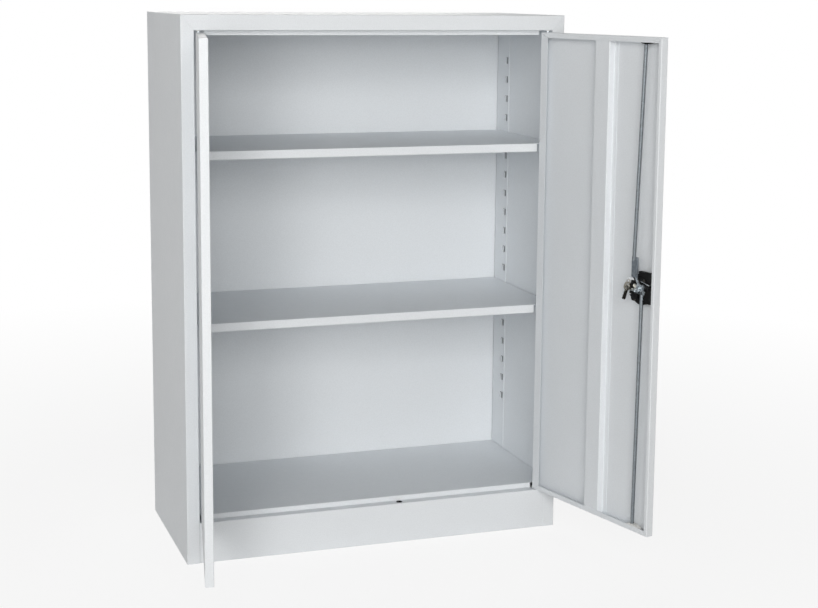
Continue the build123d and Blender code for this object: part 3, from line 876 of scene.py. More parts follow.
@dataclass
class DoorPiece:
    """Part of the right door's lock, in millimetres from the spindle with the door shut.

    X runs to the hinges, Y from the outer face of the door inwards and Z up.
    """

    palette: Palette
    spindle_x: float = 54.2
    spindle_z: float = 653.7
    outer_face: float = -207.5
    door_joint: str = "right_door_hinge"

    def at(self, x: float, y: float, z: float) -> Point:
        """Place in the cabinet's frame."""
        return (self.spindle_x + x, self.outer_face + y, self.spindle_z + z)

    def swing(self) -> Matrix:
        """Turn from the shut door to the door at rest.

        Returns:
            The turn about the door's pivot axis.
        """
        for joint in frame["record"]["behaviour"]["joints"]:
            if joint["name"] == self.door_joint:
                pivot = Matrix.Translation(Vector(joint["pos_m"]))
                turn = Matrix.Rotation(math.radians(-joint["range_deg"][0]), 4, "Z")
                return pivot @ turn @ pivot.inverted()
        raise KeyError(self.door_joint)

    def plate(self, shape: Plate) -> bpy.types.Object:
        """Make a block, cut its corners and slant its edges.

        Args:
            shape: Its sizes.

        Returns:
            The block.
        """
        low, high = zip(shape.x, shape.y, shape.z)
        made = Bench.block(shape.name, self.at(*low), self.at(*high))
        if shape.corner > 0:
            for x, side in zip(shape.x, (-1, 1)):
                for z, end in zip(shape.z, (-1, 1)):
                    Bench.bisect(made, self.at(x - side * shape.corner, 0, z), (side, 0, end))
        for (x, z), (across, up) in shape.slants:
            Bench.bisect(made, self.at(x, 0, z), (across, 0, up))
        return made

    def bar(self, shape: Bar) -> bpy.types.Object:
        """Make a round bar that runs inwards."""
        start, end = (self.at(shape.x, y, shape.z) for y in shape.y)
        return Bench.round(shape.name, start, end, shape.radius, shape.sides)

    def finish(self, piece: bpy.types.Object, body: str, slot: Slot, *nodes: str, shade: Shade | None = None,
               shaded: Span = (-math.inf, math.inf)) -> None:
        """Swing a piece to its place, dress it and hang it on its body.

        Args:
            piece: Finished piece, modelled with the door shut.
            body: Body that it moves with.
            slot: Finish that it takes.
            nodes: Solids that it stands for.
            shade: Darker copy of a finish, painted shade that it wears in place of the slot's own finish.
            shaded: Lowest and highest place that wears the variant.
        """
        Bench.turn(piece, self.swing())
        low, high = (self.at(0, 0, z)[2] / 1000 for z in shaded)
        self.palette.hang(piece, body, slot, *nodes, shade=shade, shaded=lambda face: low < face.center.z < high)


@dataclass
class LockCase(DoorPiece):
    """Moulded case: a base plate in two sheets, three sunk lobes, and a bridge on a post."""

    upper_sheet: Plate = Plate(
        "upper_sheet", (-43.8, 26.0), (11.0, 13.0), (-27.5, 31.0), 3.0, (((26.0, 27.5), (0.85, -0.53)),))
    lower_sheet: Plate = Plate("lock_case_moulding", (-43.8, 26.0), (11.0, 13.0), (-27.5, 1.0), 3.0)
    edge_notch: Plate = Plate("edge_notch", (-45.0, -38.5), (10.0, 14.0), (8.7, 14.2))
    upper_lobe: Plate = Plate(
        "upper_lobe", (-43.8, -0.5), (11.0, 18.7), (13.5, 42.0), 2.0,
        (((-8.2, 22.0), (0.194, -0.981)), ((-0.5, 38.0), (0.707, -0.707))))
    side_lobe: Plate = Plate(
        "side_lobe", (-43.8, -21.5), (11.0, 20.0), (-27.5, 8.5), 2.5, (((-30.0, 2.0), (0.7, 0.7)),))
    lower_lobe: Plate = Plate("lower_lobe", (-5.9, 26.4), (11.0, 15.8), (-28.0, -11.0), 4.0)
    lobe_notch: Plate = Plate("lobe_notch", (20.6, 31.0), (13.0, 21.0), (-18.0, -15.8))
    cam_room: Bar = Bar("cam_room", 24.0, (10.0, 21.0), 96)
    strap_room: Bar = Bar("strap_room", 22.0, (13.0, 21.0), 96)
    bridge: Plate = Plate(
        "bridge", (-4.5, 21.6), (23.0, 24.8), (-21.0, -4.5), 2.0,
        (((8.0, -6.2), (-0.17, 0.985)), ((18.0, -16.0), (0.7, -0.7))))
    post: Plate = Plate("post", (20.0, 21.6), (12.0, 24.0), (-15.0, -7.0))
    side_notch: Plate = Plate("side_notch", (16.0, 31.0), (10.0, 26.0), (-13.2, -10.6))
    spindle_bore: Bar = Bar("spindle_bore", 8.5, (10.0, 14.0), 64)
    lobe_panel: Sunk = Sunk(1.6, 0.6)
    edge: Edge = Edge(0.45)

    def build(self) -> None:
        """Make the case."""
        upper_sheet = self.plate(self.upper_sheet)
        made = self.plate(self.lower_sheet)
        Bench.weld(made, upper_sheet)
        Bench.carve(made, self.plate(self.edge_notch))
        upper, side, lower = (self.plate(lobe) for lobe in (self.upper_lobe, self.side_lobe, self.lower_lobe))
        for lobe, room in ((upper, self.cam_room), (side, self.cam_room), (lower, self.strap_room)):
            Bench.carve(lobe, self.bar(room))
        Bench.carve(lower, self.plate(self.lobe_notch))
        for lobe in (upper, side, lower):
            Bench.sink(lobe, INWARDS, self.lobe_panel)
        bridge, post = self.plate(self.bridge), self.plate(self.post)
        for part in (made, lower, post, bridge):
            Bench.carve(part, self.plate(self.side_notch))
        Bench.weld(made, upper, side, lower, post, bridge)
        Bench.carve(made, self.bar(self.spindle_bore))
        Bench.soften(made, self.edge)
        self.finish(made, "right_door", Slot.BLACK, "lock_case")


@dataclass
class CamSpring(DoorPiece):
    """Return spring: a straight leg from the upper lobe and a hooked end by the cam."""

    wire: float = 0.8
    leg: tuple[Point, Point] = ((-35.0, 18.2, 13.9), (-9.0, 18.2, 19.6))
    tail: tuple[Point, Point] = ((-34.8, 18.4, 13.9), (-34.8, 12.6, 13.9))
    sides: int = 20
    edge: Edge = Edge(0.15, 1, 50.0)

    def build(self) -> None:
        """Make the spring."""
        made, tail = (
            Bench.round(name, self.at(*start), self.at(*end), self.wire, self.sides)
            for name, (start, end) in (("cam_spring", self.leg), ("tail", self.tail)))
        Bench.weld(made, tail)
        Bench.soften(made, self.edge)
        self.finish(made, "right_door", Slot.ZINC)


@dataclass
class RingEar(DoorPiece):
    """Coated ear that the key ring passes through."""

    ear: Plate = Plate("key_ring_ear", (28.0, 30.2), (11.0, 24.8), (17.4, 23.6))
    corner_x: float = 29.0
    corner_y: float = 23.4
    hole: tuple[Point, Point] = ((27.0, 22.0, 20.5), (31.5, 22.0, 20.5))
    hole_radius: float = 2.0
    foot: Plate = Plate("foot", (12.0, 30.2), (11.0, 12.4), (17.4, 22.5))
    edge: Edge = Edge(0.3)

    def build(self) -> None:
        """Make the ear and its foot."""
        made = self.plate(self.ear)
        for z, end in zip(self.ear.z, (-1, 1)):
            Bench.bisect(made, self.at(self.corner_x, self.corner_y, z), (0, 1, end))
        start, end = self.hole
        Bench.carve(made, Bench.round("ear_hole", self.at(*start), self.at(*end), self.hole_radius))
        Bench.weld(made, self.plate(self.foot))
        Bench.soften(made, self.edge)
        self.finish(made, "right_door", Slot.DOOR)


@dataclass
class CaseScrews(DoorPiece):
    """Two pan-head screws with cross recesses."""

    seats: tuple[Point, ...] = ((-20.0, 18.7, 23.0), (12.0, 15.8, -24.5))
    head_radius: float = 3.4
    head_height: float = 1.8
    head_sides: int = 40
    crown: Edge = Edge(0.7, 3, 40.0)
    shank_radius: float = 1.5
    shank_tip: float = 9.0
    shank_grip: float = 0.5
    shank_sides: int = 24
    recess_reach: float = 2.0
    recess_half: float = 0.4
    recess_y: Span = (0.9, 2.0)
    recess_turn: float = 20.0
    edge: Edge = Edge(0.08, 1, 50.0)

    def screw(self, number: int, x: float, face: float, z: float) -> bpy.types.Object:
        """Make one screw.

        Args:
            number: Its place in the row of screws.
            x: Place across.
            face: Face that its head sits on.
            z: Place upwards.

        Returns:
            The screw.
        """
        top, root = (face, face + self.head_height), (self.shank_tip, face + self.shank_grip)
        head = self.bar(Bar(f"screw_{number}", self.head_radius, top, self.head_sides, x, z))
        shank = self.bar(Bar("shank", self.shank_radius, root, self.shank_sides, x, z))
        Bench.bevel(head, self.crown)
        recess = Plate(
            "recess", (x - self.recess_reach, x + self.recess_reach), tuple(face + y for y in self.recess_y),
            (z - self.recess_half, z + self.recess_half))
        for turned in (0.0, 90.0):
            slot = self.plate(recess)
            Bench.spin(slot, self.at(x, face, z), turned + self.recess_turn, "Y")
            Bench.carve(head, slot)
        Bench.weld(head, shank)
        return head

    def build(self) -> None:
        """Make both screws as one piece."""
        made, *others = (self.screw(number, *seat) for number, seat in enumerate(self.seats))
        Bench.gather(made, *others)
        made.name = "lock_case_screw_pair"
        Bench.soften(made, self.edge)
        # The whole screw pair wears the near-black nickel copy.
        self.finish(made, "right_door", Slot.ZINC, "lock_case_screws", shade=Shade.BLADE)


@dataclass
class LockCam(DoorPiece):
    """Cam plate with an arm, two noses and two studs, half a turn apart."""

    faces: Span = (13.3, 15.8)
    hub_radius: float = 11.0
    arm_reach: float = 13.0
    arm_half: float = 7.0
    arm_turn: float = 25.0
    nose_reach: float = 17.3
    nose_half: float = 4.2
    nose_turn: float = -22.0
    nose_tip: Span = (16.04, 6.48)
    end_sides: int = 64
    drive_half: float = 4.05
    drive_y: Span = (12.0, 17.0)
    studs: tuple[Point, ...] = ((11.782, 22.4, -5.494), (-11.782, 18.8, 5.494))
    stud_radius: float = 3.0
    stud_root: float = 15.0
    dimple_radius: float = 1.1
    dimple: Span = (-0.5, 1.0)
    dimple_sides: int = 24
    collar_radius: float = 4.4
    collar: Span = (15.6, 16.0)
    edge: Edge = Edge(0.5, 3)
    collar_edge: Edge = Edge(0.2)

    def beam(self, name: str, reach: float, half: float, turned: float) -> bpy.types.Object:
        """Bar across the cam.

        Args:
            name: Name of the bar.
            reach: Its ends from the middle.
            half: Half of its width.
            turned: Degrees that it is turned.

        Returns:
            The bar.
        """
        made = self.plate(Plate(name, (-reach, reach), self.faces, (-half, half)))
        Bench.spin(made, self.at(0, 0, 0), turned, "Y")
        return made

    def stud(self, x: float, tip: float, z: float) -> tuple[bpy.types.Object, bpy.types.Object]:
        """Make a stud with a dimpled end, and its collar.

        Args:
            x: Place across.
            tip: Its inner end.
            z: Place upwards.

        Returns:
            The stud and the collar.
        """
        stud = self.bar(Bar("stud", self.stud_radius, (self.stud_root, tip), x=x, z=z))
        hollow = tuple(tip + y for y in self.dimple)
        Bench.carve(stud, self.bar(Bar("dimple", self.dimple_radius, hollow, self.dimple_sides, x, z)))
        Bench.soften(stud, self.edge)
        collar = self.bar(Bar("collar", self.collar_radius, self.collar, x=x, z=z))
        Bench.soften(collar, self.collar_edge)
        return stud, collar

    def build(self) -> None:
        """Make the cam."""
        made = self.bar(Bar("lock_cam_plate", self.hub_radius, self.faces, self.end_sides))
        Bench.weld(made, self.beam("arm", self.arm_reach, self.arm_half, self.arm_turn))
        Bench.weld(made, self.beam("nose", self.nose_reach, self.nose_half, self.nose_turn))
        for side in (-1, 1):
            x, z = (side * value for value in self.nose_tip)
            Bench.weld(made, self.bar(Bar("nose_tip", self.nose_half, self.faces, x=x, z=z)))
        for x, _, z in self.studs:
            Bench.weld(made, self.bar(Bar("end", self.arm_half, self.faces, self.end_sides, x, z)))
        square = (-self.drive_half, self.drive_half)
        Bench.carve(made, self.plate(Plate("drive", square, self.drive_y, square)))
        Bench.soften(made, self.edge)
        for place in self.studs:
            Bench.gather(made, *self.stud(*place))
        self.finish(made, "handle", Slot.ZINC, "lock_cam")


@dataclass(frozen=True)
class Arm:
    """Straight part of a strap: its ends across and upwards, and its lean to the hinges in degrees."""

    x: Span
    z: Span
    lean: float = 0.0


@dataclass
class RodDrive(DoorPiece):
    """Upper lock rod, with the flat strap whose cross slot a stud of the cam drives."""

    hand: str = "upper"
    side: int = 1
    faces: Span = (19.3, 21.8)
    arms: tuple[Arm, ...] = (
        Arm((0.0, 20.0), (26.5, 72.0)), Arm((-2.2, 4.2), (8.5, 31.5), 32.0), Arm((-3.5, 3.0), (-4.5, 16.5), -28.0))
    stud_z: float = 5.494
    head_x: Span = (0.094, 18.4)
    head_half: float = 6.2
    slot_x: Span = (2.094, 16.4)
    slot_half: float = 4.2
    rod_root: Point = (14.5, 20.4, 63.0)
    rod_tip: Point = (4.0, 12.0, 555.5)
    rod_radius: float = 4.0
    rod_edge: Edge = Edge(1.1, 4, 50.0)
    socket_room: float = 0.05
    socket_sides: int = 64
    strap_edge: Edge = Edge(0.35)
    over: float = 1.0
    # Heights of the strap that wear the painted shade: its wide plate.
    shaded: Span = (26.0, 80.0)

    def cross(self, name: str, x: Span, y: Span, half: float) -> bpy.types.Object:
        """Block round the stud, on the strap's own side of the spindle.

        Args:
            name: Name of the block.
            x: Its ends from the spindle.
            y: Its outer and inner face.
            half: Half of its height.

        Returns:
            The block.
        """
        ends = tuple(sorted(self.side * value for value in x))
        middle = -self.side * self.stud_z
        return self.plate(Plate(name, ends, y, (middle - half, middle + half)))

    def line(self, name: str, radius: float, sides: int = 48) -> bpy.types.Object:
        """Round bar along the rod's axis."""
        return Bench.round(name, self.at(*self.rod_root), self.at(*self.rod_tip), radius, sides)

    def strap(self) -> None:
        """Make the strap."""
        outer, inner = self.faces
        made = self.cross(f"{self.hand}_strap_plate", self.head_x, self.faces, self.head_half)
        for arm in self.arms:
            part = self.plate(Plate("arm", arm.x, self.faces, arm.z))
            Bench.spin(part, self.at(sum(arm.x) / 2, 0, sum(arm.z) / 2), arm.lean, "Y")
            Bench.weld(made, part)
        Bench.carve(made, self.cross("slot", self.slot_x, (outer - self.over, inner + self.over), self.slot_half))
        Bench.carve(made, self.line("socket", self.rod_radius + self.socket_room, self.socket_sides))
        Bench.soften(made, self.strap_edge)
        # The wide plate wears the darker zinc as painted shade; the rest keeps the bright plate.
        self.finish(
            made, f"{self.hand}_rod", Slot.ZINC, f"{self.hand}_rod_strap", shade=Shade.STRAP, shaded=self.shaded)

    def rod(self) -> None:
        """Make the rod with its rounded ends."""
        made = self.line(f"{self.hand}_rod_bar", self.rod_radius)
        Bench.soften(made, self.rod_edge)
        # The whole rod wears the darker zinc as painted shade.
        self.finish(made, f"{self.hand}_rod", Slot.ZINC, f"{self.hand}_lock_rod", shade=Shade.ROD)


@dataclass
class LowerRodDrive(RodDrive):
    """Lower lock rod with its strap, on the other side of the spindle."""

    hand: str = "lower"
    side: int = -1
    faces: Span = (16.3, 18.8)
    arms: tuple[Arm, ...] = (Arm((-17.5, -8.0), (-22.0, 5.494)),)
    rod_root: Point = (-11.5, 17.55, -10.0)
    rod_tip: Point = (4.0, 12.0, -555.5)


@dataclass
class LockCup(DoorPiece):
    """Recessed cup with a rounded flange."""

    flange: Bar = Bar("lock_cup_moulding", 40.0, (-2.5, 0.0), 128)
    body: Bar = Bar("body", 35.0, (-0.5, 11.0), 128)
    hollow: Bar = Bar("hollow", 33.0, (-5.0, 9.0), 128)
    bore: Bar = Bar("bore", 6.05, (5.0, 14.0), 64)
    edge: Edge = Edge(0.9, 4)

    def build(self) -> None:
        """Make the cup."""
        made = self.bar(self.flange)
        Bench.weld(made, self.bar(self.body))
        Bench.carve(made, self.bar(self.hollow), self.bar(self.bore))
        Bench.soften(made, self.edge)
        self.finish(made, "right_door", Slot.BLACK, "lock_cup")


@dataclass
class TurnHandle(DoorPiece):
    """Grip bar with rounded ends and grip grooves, on a bored hub."""

    grip: Bar = Bar("turn_handle_grip", 6.5, (-9.0, 0.0), 64)
    reach: float = 24.5
    grip_trim: Edge = Edge(2.2, 3)
    hub: Bar = Bar("hub", 14.0, (-9.0, 8.7), 96)
    hub_trim: Edge = Edge(1.2, 3)
    groove: Bar = Bar("groove", 0.55, (-12.0, 2.0), 16)
    grooves: int = 5
    groove_start: float = 17.0
    groove_pitch: float = 2.4
    groove_out: float = 1.03
    bore: Bar = Bar("bore", 5.6, (-12.0, 4.0), 64)
    edge: Edge = Edge(0.7, 3)

    def build(self) -> None:
        """Make the handle."""
        made = self.bar(self.grip)
        Bench.stretch(made, self.at(0, 0, 0)[0], self.reach)
        Bench.trim(made, OUTWARDS, self.grip_trim)
        hub = self.bar(self.hub)
        Bench.trim(hub, OUTWARDS, self.hub_trim)
        Bench.weld(made, hub)
        for z in (-self.grip.radius, self.grip.radius):
            for step in range(self.grooves):
                for side in (-1, 1):
                    x = side * (self.groove_start + self.groove_pitch * step)
                    Bench.carve(made, self.bar(replace(self.groove, x=x, z=z * self.groove_out)))
        Bench.carve(made, self.bar(self.bore))
        Bench.soften(made, self.edge)
        self.finish(made, "handle", Slot.BLACK, "turn_handle")


@dataclass
class KeyPlug(DoorPiece):
    """Key plug with its keyway and a sunk face."""

    barrel: Bar = Bar("key_plug_face", 5.5, (-9.6, 3.95), 64)
    panel: Sunk = Sunk(0.7, 0.25, 50.0)
    keyway: Plate = Plate("keyway", (-0.8, 0.8), (-11.0, -3.1), (-3.5, 3.5))
    ward: Plate = Plate("ward", (-0.8, 1.5), (-11.0, -3.1), (-0.7, 0.5))
    edge: Edge = Edge(0.3)

    def build(self) -> None:
        """Make the plug."""
        made = self.bar(self.barrel)
        Bench.sink(made, OUTWARDS, self.panel)
        Bench.carve(made, self.plate(self.keyway), self.plate(self.ward))
        Bench.soften(made, self.edge)
        self.finish(made, "key_plug", Slot.NICKEL, "key_plug")


@dataclass
class KeyRing(DoorPiece):
    """Split ring that hangs in the ear."""

    middle_x: float = 29.25
    middle_z: float = 14.7
    turns: Span = (21.6, 22.4)
    radius: float = 4.7
    wire: float = 0.42

    def build(self) -> None:
        """Make both turns of the ring as one piece."""
        made, other = (
            Bench.hoop(f"turn_{number}", self.at(self.middle_x, y, self.middle_z), INWARDS, self.radius, self.wire)
            for number, y in enumerate(self.turns))
        Bench.gather(made, other)
        made.name = "key_split_ring"
        Bench.pick(made)
        bpy.ops.object.shade_smooth()
        self.finish(made, "keys", Slot.NICKEL, "key_ring")


@dataclass
class FlatKey(DoorPiece):
    """Flat key that hangs from the lowest point of the ring."""

    name: str = "near_key"
    node: str = "first_key"
    x: float = 28.05
    swing_out: float = 19.0
    middle: float = 22.0
    hang: float = 10.0
    half_thickness: float = 1.0
    bow_drop: float = 6.15
    bow_radius: float = 9.5
    bow_sides: int = 64
    bow_flat: float = 8.4
    panel: Sunk = Sunk(1.4, 0.4)
    blade_length: float = 22.0
    blade_half: float = 2.6
    blade_root: float = 6.0
    cuts: tuple[float, ...] = (1.3, 0.7, 1.8, 1.0, 1.5)
    cut_start: float = 4.0
    cut_pitch: float = 3.4
    cut_width: float = 1.6
    cut_half: float = 2.0
    cut_over: float = 2.9
    groove_floor: float = 0.6
    groove_y: Span = (20.4, 21.9)
    groove_end: float = 8.0
    groove_over: float = 1.0
    eye_radius: float = 3.0
    eye_half: float = 3.0
    eye_drop: float = 1.4
    eye_sides: int = 32
    edge: Edge = Edge(0.3)
    # Heights of the key that wear the painted shade: the blade below the bow.
    shaded: Span = (-60.0, -6.5)

    def across(self, name: str, half: float, z: float, radius: float, sides: int) -> bpy.types.Object:
        """Round bar through the key's flat sides.

        Args:
            name: Name of the bar.
            half: Half of its length.
            z: Place upwards.
            radius: Its radius.
            sides: Number of flats round it.

        Returns:
            The bar.
        """
        start, end = (self.at(self.x + step, self.middle, z) for step in (-half, half))
        return Bench.round(name, start, end, radius, sides)

    def bow(self, centre: float) -> bpy.types.Object:
        """Make the bow: round, with two flats and a sunk panel on each side.

        Args:
            centre: Its middle upwards.

        Returns:
            The bow.
        """
        made = self.across(self.name, self.half_thickness, centre, self.bow_radius, self.bow_sides)
        for out in (1, -1):
            Bench.bisect(made, self.at(self.x, self.middle + out * self.bow_flat, centre), (0, out, 0))
        for out in (1, -1):
            Bench.sink(made, (out, 0, 0), self.panel)
        return made

    def blade(self, low: float, bow: float) -> bpy.types.Object:
        """Make the blade with its tip, cuts and grooves.

        Args:
            low: Its tip.
            bow: Middle of the bow.

        Returns:
            The blade.
        """
        x, half = self.x, self.half_thickness
        back, front = self.middle - self.blade_half, self.middle + self.blade_half
        made = self.plate(Plate("blade", (x - half, x + half), (back, front), (low, bow - self.blade_root)))
        for out in (1, -1):
            Bench.bisect(made, self.at(x, self.middle, low), (0, out, -1))
        for step, deep in enumerate(self.cuts):
            start = low + self.cut_start + self.cut_pitch * step
            Bench.carve(made, self.plate(Plate(
                "cut", (x - self.cut_half, x + self.cut_half), (front - deep, front + self.cut_over),
                (start, start + self.cut_width))))
        for face in (-1, 1):
            ends = tuple(sorted((x + face * self.groove_floor, x + face * self.cut_half)))
            run = (low - self.groove_over, bow - self.groove_end)
            Bench.carve(made, self.plate(Plate("groove", ends, self.groove_y, run)))
        return made

    def build(self) -> None:
        """Make the key and let it swing out from the door."""
        centre = self.hang - self.bow_drop
        made = self.bow(centre)
        Bench.weld(made, self.blade(centre - self.bow_radius - self.blade_length, centre))
        eye_z = self.hang - self.eye_drop
        Bench.carve(made, self.across("eye", self.eye_half, eye_z, self.eye_radius, self.eye_sides))
        Bench.soften(made, self.edge)
        Bench.spin(made, self.at(self.x, self.middle, self.hang), self.swing_out, "X")
        # The blade wears the dark nickel as painted shade; the bow keeps the bright plate.
        self.finish(made, "keys", Slot.NICKEL, self.node, shade=Shade.BLADE, shaded=self.shaded)


@dataclass
class DoorLock:
    """Rod lock of the right door."""

    palette: Palette

    def build(self) -> None:
        """Make every piece of the lock."""
        for part in (LockCase, CamSpring, RingEar, CaseScrews, LockCam):
            part(self.palette).build()
        drives = RodDrive(self.palette), LowerRodDrive(self.palette)
        for drive in drives:
            drive.strap()
        for drive in drives:
            drive.rod()
        for part in (LockCup, TurnHandle, KeyPlug, KeyRing, FlatKey):
            part(self.palette).build()
        FlatKey(self.palette, name="far_key", node="second_key", x=30.45, swing_out=23.0).build()


@dataclass
class SlottedUpright:
    """Punched strip on the carcass wall with a column of bent tongues, in millimetres; the slot floors carry painted
    shade.
    """

    palette: Palette
    sheet: float = 1.2
    rise: float = 5.0
    flat: float = 2.0
    setback: float = 8.0
    length: float = 18.0
    tall: float = 16.0
    margin: float = 0.2
    # Thin sheet left at the bottom of each slot to carry the painted shade.
    skin: float = 0.1
    first: float = 248.0
    pitch: float = 49.0
    count: int = 19
    over: float = 1.0
    edge: Edge = Edge(0.25, 1)
    facing: float = 0.9

    @staticmethod
    def corners(node: str) -> tuple[Vector, Vector]:
        """Find the corners of a carried-over solid.

        Args:
            node: Name of the solid.

        Returns:
            Its lowest and its highest corner.
        """
        solid = frame["nodes"][node]
        places = [solid.matrix_world @ Vector(corner) * 1000 for corner in solid.bound_box]
        return Vector(map(min, zip(*places))), Vector(map(max, zip(*places)))

    @staticmethod
    def block(name: str, side: int, x: Span, y: Span, z: Span) -> bpy.types.Object:
        """Add a block on one side of the cabinet.

        Args:
            name: Name of the block.
            side: 1 on the right and -1 on the left.
            x: Its ends from the middle of the cabinet.
            y: Its front and rear end.
            z: Its ends upwards.

        Returns:
            The block.
        """
        return Bench.block(name, *zip(sorted((side * x[0], side * x[1])), y, z))

    def column(self, piece: bpy.types.Object) -> None:
        """Repeat a piece upwards, once for every slot.

        Args:
            piece: Piece at the lowest slot.
        """
        Bench.apply(
            piece, "ARRAY", count=self.count, use_relative_offset=False, use_constant_offset=True,
            constant_offset_displace=(0.0, 0.0, self.pitch / 1000))

    def tongues(self, side: int, wall: float, mouth: float) -> bpy.types.Object:
        """Make the tongues, each bent out of the strip and open towards the doors.

        Args:
            side: 1 on the right and -1 on the left.
            wall: Distance of the wall from the middle of the cabinet.
            mouth: Place of the open ends.

        Returns:
            The tongues.
        """
        peak = wall - self.sheet - self.rise
        tail = mouth + self.length
        low, high = self.first - self.tall / 2, self.first + self.tall / 2
        made = self.block("tongues", side, (peak, wall), (mouth, tail), (low, high))
        bend = mouth + self.flat
        Bench.bisect(made, (side * peak, bend, 0.0), (-side * (self.length - self.flat), self.rise, 0.0))
        room = self.block(
            "room", side, (peak + self.sheet, wall + self.over), (mouth - self.over, tail - self.sheet),
            (low - self.over, high + self.over))
        Bench.bisect(
            room, (side * (peak + self.sheet), bend, 0.0),
            (-side * (self.length - self.flat - self.sheet), self.rise, 0.0))
        Bench.carve(made, room)
        self.column(made)
        return made

    def build(self, name: str, node: str) -> None:
        """Make one upright in the place of its solid.

        Args:
            name: Name of the piece.
            node: Solid that it stands for.
        """
        low, high = self.corners(node)
        side = 1 if low.x > 0 else -1
        wall = max(abs(low.x), abs(high.x))
        mouth = low.y + self.setback
        made = self.block(name, side, (wall - self.sheet, wall), (low.y, high.y), (low.z, high.z))
        half = self.tall / 2 + self.margin
        # The slots stop a skin short of the wall, so their floors can take the painted shade.
        slots = self.block(
            "slots", side, (wall - self.sheet - self.over, wall - self.skin),
            (mouth - self.margin, mouth + self.length - self.sheet), (self.first - half, self.first + half))
        self.column(slots)
        Bench.carve(made, slots)
        Bench.weld(made, self.tongues(side, wall, mouth))
        Bench.soften(made, self.edge)
        # Inward faces at the depth of the skin wear the dark coat: painted shade in the slots.
        self.palette.hang(
            made, "carcass", Slot.CARCASS, node, shade=Shade.HOLLOW,
            shaded=lambda face: -side * face.normal.x > self.facing
            and abs(face.center.x) * 1000 > wall - 2 * self.skin)


@dataclass
class RodBush:
    """Black bush in the opening that the lower rod shoots into, in millimetres."""

    palette: Palette
    middle: Span = (58.2, -195.5)
    top: float = 95.4
    reach: float = 9.0
    depth: float = 5.0
    lip: float = 2.2
    lip_height: float = 0.7
    fit: float = 0.1
    sleeve: float = 7.0
    wall: float = 0.8
    bottom: float = 1.0
    join: float = 0.2
    over: float = 2.0
    edge: Edge = Edge(0.2)

    def oval(self, name: str, more: float, low: float, high: float) -> bpy.types.Object:
        """Upright bar with an oval outline.

        Args:
            name: Name of the bar.
            more: Growth of the outline beyond the opening.
            low: Its lower face from the top of the sheet.
            high: Its upper face from the top of the sheet.

        Returns:
            The bar.
        """
        x, y = self.middle
        made = Bench.round(name, (x, y, self.top + low), (x, y, self.top + high), self.depth + more)
        Bench.stretch(made, x, self.reach - self.depth)
        return made

    def build(self) -> None:
        """Make the bush: a thin lip on the sheet and a sleeve with a floor in the opening."""
        made = self.oval("rod_bush", self.lip, 0.0, self.lip_height)
        Bench.weld(made, self.oval("sleeve", -self.fit, -self.sleeve, self.join))
        Bench.carve(made, self.oval("hollow", -self.fit - self.wall, self.bottom - self.sleeve, self.over))
        Bench.soften(made, self.edge)
        self.palette.hang(made, "carcass", Slot.BLACK)


@dataclass(frozen=True)
class Lamp:
    """Square soft lamp: name, where it hangs, what it points at, side in metres and power in watts."""

    name: str
    place: Point
    target: Point
    size: float
    power: float

    def hang(self, colour: Colour) -> None:
        """Hang the lamp.

        Args:
            colour: Colour of its light.
        """
        data = bpy.data.lights.new(self.name, "AREA")
        data.size = self.size
        data.energy = self.power
        data.color = colour
        made = bpy.data.objects.new(self.name, data)
        turn = (Vector(self.target) - Vector(self.place)).to_track_quat("-Z", "Y")
        made.matrix_world = Matrix.Translation(self.place) @ turn.to_matrix().to_4x4()
        made.visible_camera = False
        bpy.context.scene.collection.objects.link(made)
        log.info("lamp %s", self.name)


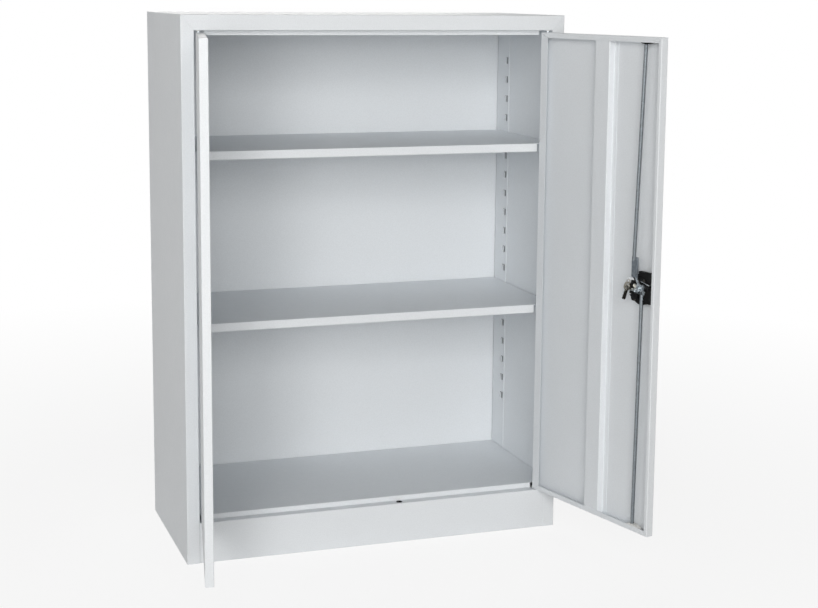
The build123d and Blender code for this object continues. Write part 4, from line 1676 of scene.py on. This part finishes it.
@dataclass
class Studio:
    """Floor, light and camera round the cabinet, in metres."""

    eye: Point = (-1.13912, -3.70112, 1.30417)
    yaw: float = -19.1406
    pitch: float = 8.8152
    roll: float = 0.4678
    lens: float = 70.680
    sensor: float = 36.0
    shift_down: float = -0.0782
    sight: float = 200.0
    floor_size: float = 60.0
    floor_drop: float = 0.0005
    floor_tone: float = 0.80
    floor_drift: float = 1.01
    floor_noise: Noise = Noise(40.0)
    near_white: float = 0.86
    whitening: Span = (0.9, 3.0)
    covered: Span = (0.44, 0.17)
    ambient: float = 0.15
    light_colour: Colour = (1.0, 0.983, 0.962)
    lamps: tuple[Lamp, ...] = (
        Lamp("key", (-3.12, -6.25, 1.58), (0.0, -0.3, 0.7), 0.96, 46.1),
        Lamp("slant", (-2.4, -7.36, 2.17), (0.0, 0.0, 0.65), 4.16, 228.0),
        Lamp("left", (-4.2, -1.4, 1.4), (-0.4, 0.0, 0.65), 2.0, 14.0),
        Lamp("high", (-2.56, -4.32, 3.29), (0.0, 0.0, 0.65), 1.92, 28.0),
        Lamp("over", (-0.96, -7.04, 2.97), (0.0, 0.0, 0.65), 2.56, 69.1),
        Lamp("behind", (0.9, 4.6, 2.3), (0.0, 0.2, 0.65), 2.4, 60.0),
    )

    def camera(self) -> None:
        """Stand the camera in front of the open doors."""
        yaw, pitch, roll = (math.radians(angle) for angle in (self.yaw, self.pitch, self.roll))
        ahead = Vector((-math.sin(yaw) * math.cos(pitch), math.cos(yaw) * math.cos(pitch), -math.sin(pitch)))
        level = Vector((math.cos(yaw), math.sin(yaw), 0.0))
        upright = level.cross(ahead)
        right = math.cos(roll) * level + math.sin(roll) * upright
        up = math.cos(roll) * upright - math.sin(roll) * level
        data = bpy.data.cameras.new("view")
        data.sensor_width = self.sensor
        data.lens = self.lens
        data.shift_y = self.shift_down
        data.dof.use_dof = False
        data.clip_end = self.sight
        made = bpy.data.objects.new("view", data)
        made.matrix_world = Matrix.Translation(self.eye) @ Matrix((right, up, -ahead)).transposed().to_4x4()
        bpy.context.scene.collection.objects.link(made)
        bpy.context.scene.camera = made
        log.info("camera at %s", self.eye)

    @staticmethod
    def seen(weave: Weave) -> bpy.types.NodeSocket:
        """Share of a ray that meets the studio's white: sight, mirror and glass rays.

        Args:
            weave: Helper that owns the nodes.

        Returns:
            One for such a ray and zero for light that falls on matt surfaces.
        """
        path = weave.node("ShaderNodeLightPath")
        share = path.outputs["Is Camera Ray"]
        for ray in ("Is Glossy Ray", "Is Transmission Ray"):
            share = weave.maths("MAXIMUM", share, path.outputs[ray])
        return share

    def world(self) -> None:
        """Even light all round, white where it is seen directly."""
        world = bpy.data.worlds.new("studio")
        bpy.context.scene.world = world
        weave = Weave(world, "ShaderNodeOutputWorld")
        even, white = (weave.node("ShaderNodeBackground") for _ in range(2))
        even.inputs["Color"].default_value = (*self.light_colour, 1.0)
        even.inputs["Strength"].default_value = self.ambient
        white.inputs["Color"].default_value = (*WHITE, 1.0)
        weave.shown(self.seen(weave), even.outputs["Background"], white.outputs["Background"])

    def paper(self) -> bpy.types.Material:
        """Make the floor's material.

        Returns:
            Pale matt paper that fades to white away from the cabinet and never glows under it.
        """
        weave = Weave.material("pale_floor")
        matt = weave.node("ShaderNodeBsdfDiffuse")
        pale = (self.floor_tone,) * 3
        grain = weave.ranged(weave.noise(self.floor_noise))
        weave.link(weave.blended(grain, pale, tone(pale, self.floor_drift)), matt.inputs["Color"])
        glow = weave.node("ShaderNodeEmission")
        away = weave.node("ShaderNodeVectorMath", operation="LENGTH")
        weave.link(weave.place, away.inputs[0])
        white = weave.ranged(away.outputs["Value"], (self.near_white, 1.0), self.whitening)
        split = weave.node("ShaderNodeSeparateXYZ")
        weave.link(weave.place, split.inputs["Vector"])
        outside = weave.maths("MAXIMUM", *(
            weave.maths("GREATER_THAN", weave.maths("ABSOLUTE", split.outputs[axis]), reach)
            for axis, reach in zip("XY", self.covered)))
        share = weave.maths("MULTIPLY", weave.maths("MULTIPLY", self.seen(weave), white), outside)
        weave.shown(share, matt.outputs["BSDF"], glow.outputs["Emission"])
        return weave.owner

    def floor(self) -> None:
        """Lay the pale floor, white to the eye but for a soft shadow."""
        Bench.clear()
        bpy.ops.mesh.primitive_plane_add(size=self.floor_size, location=(0.0, 0.0, -self.floor_drop))
        floor = Bench.settle("studio_floor")
        floor.data.materials.append(self.paper())

    def build(self) -> None:
        """Set up the whole studio."""
        self.camera()
        for lamp in self.lamps:
            lamp.hang(self.light_colour)
        self.world()
        self.floor()
        bpy.context.scene.view_settings.view_transform = "Standard"


def main() -> None:
    """Build the finishes, the pieces and the studio in order."""
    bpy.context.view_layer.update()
    palette = Palette()
    palette.mix()
    Dresser(palette).dress()
    for end in ("front", "rear"):
        for hand in ("left", "right"):
            SlottedUpright(palette).build(f"{hand}_{end}_slotted_strip", f"{hand}_{end}_upright")
    RodBush(palette).build()
    DoorLock(palette).build()
    Studio().build()
    log.info("sizes written")


if __name__ == "__main__":
    main()
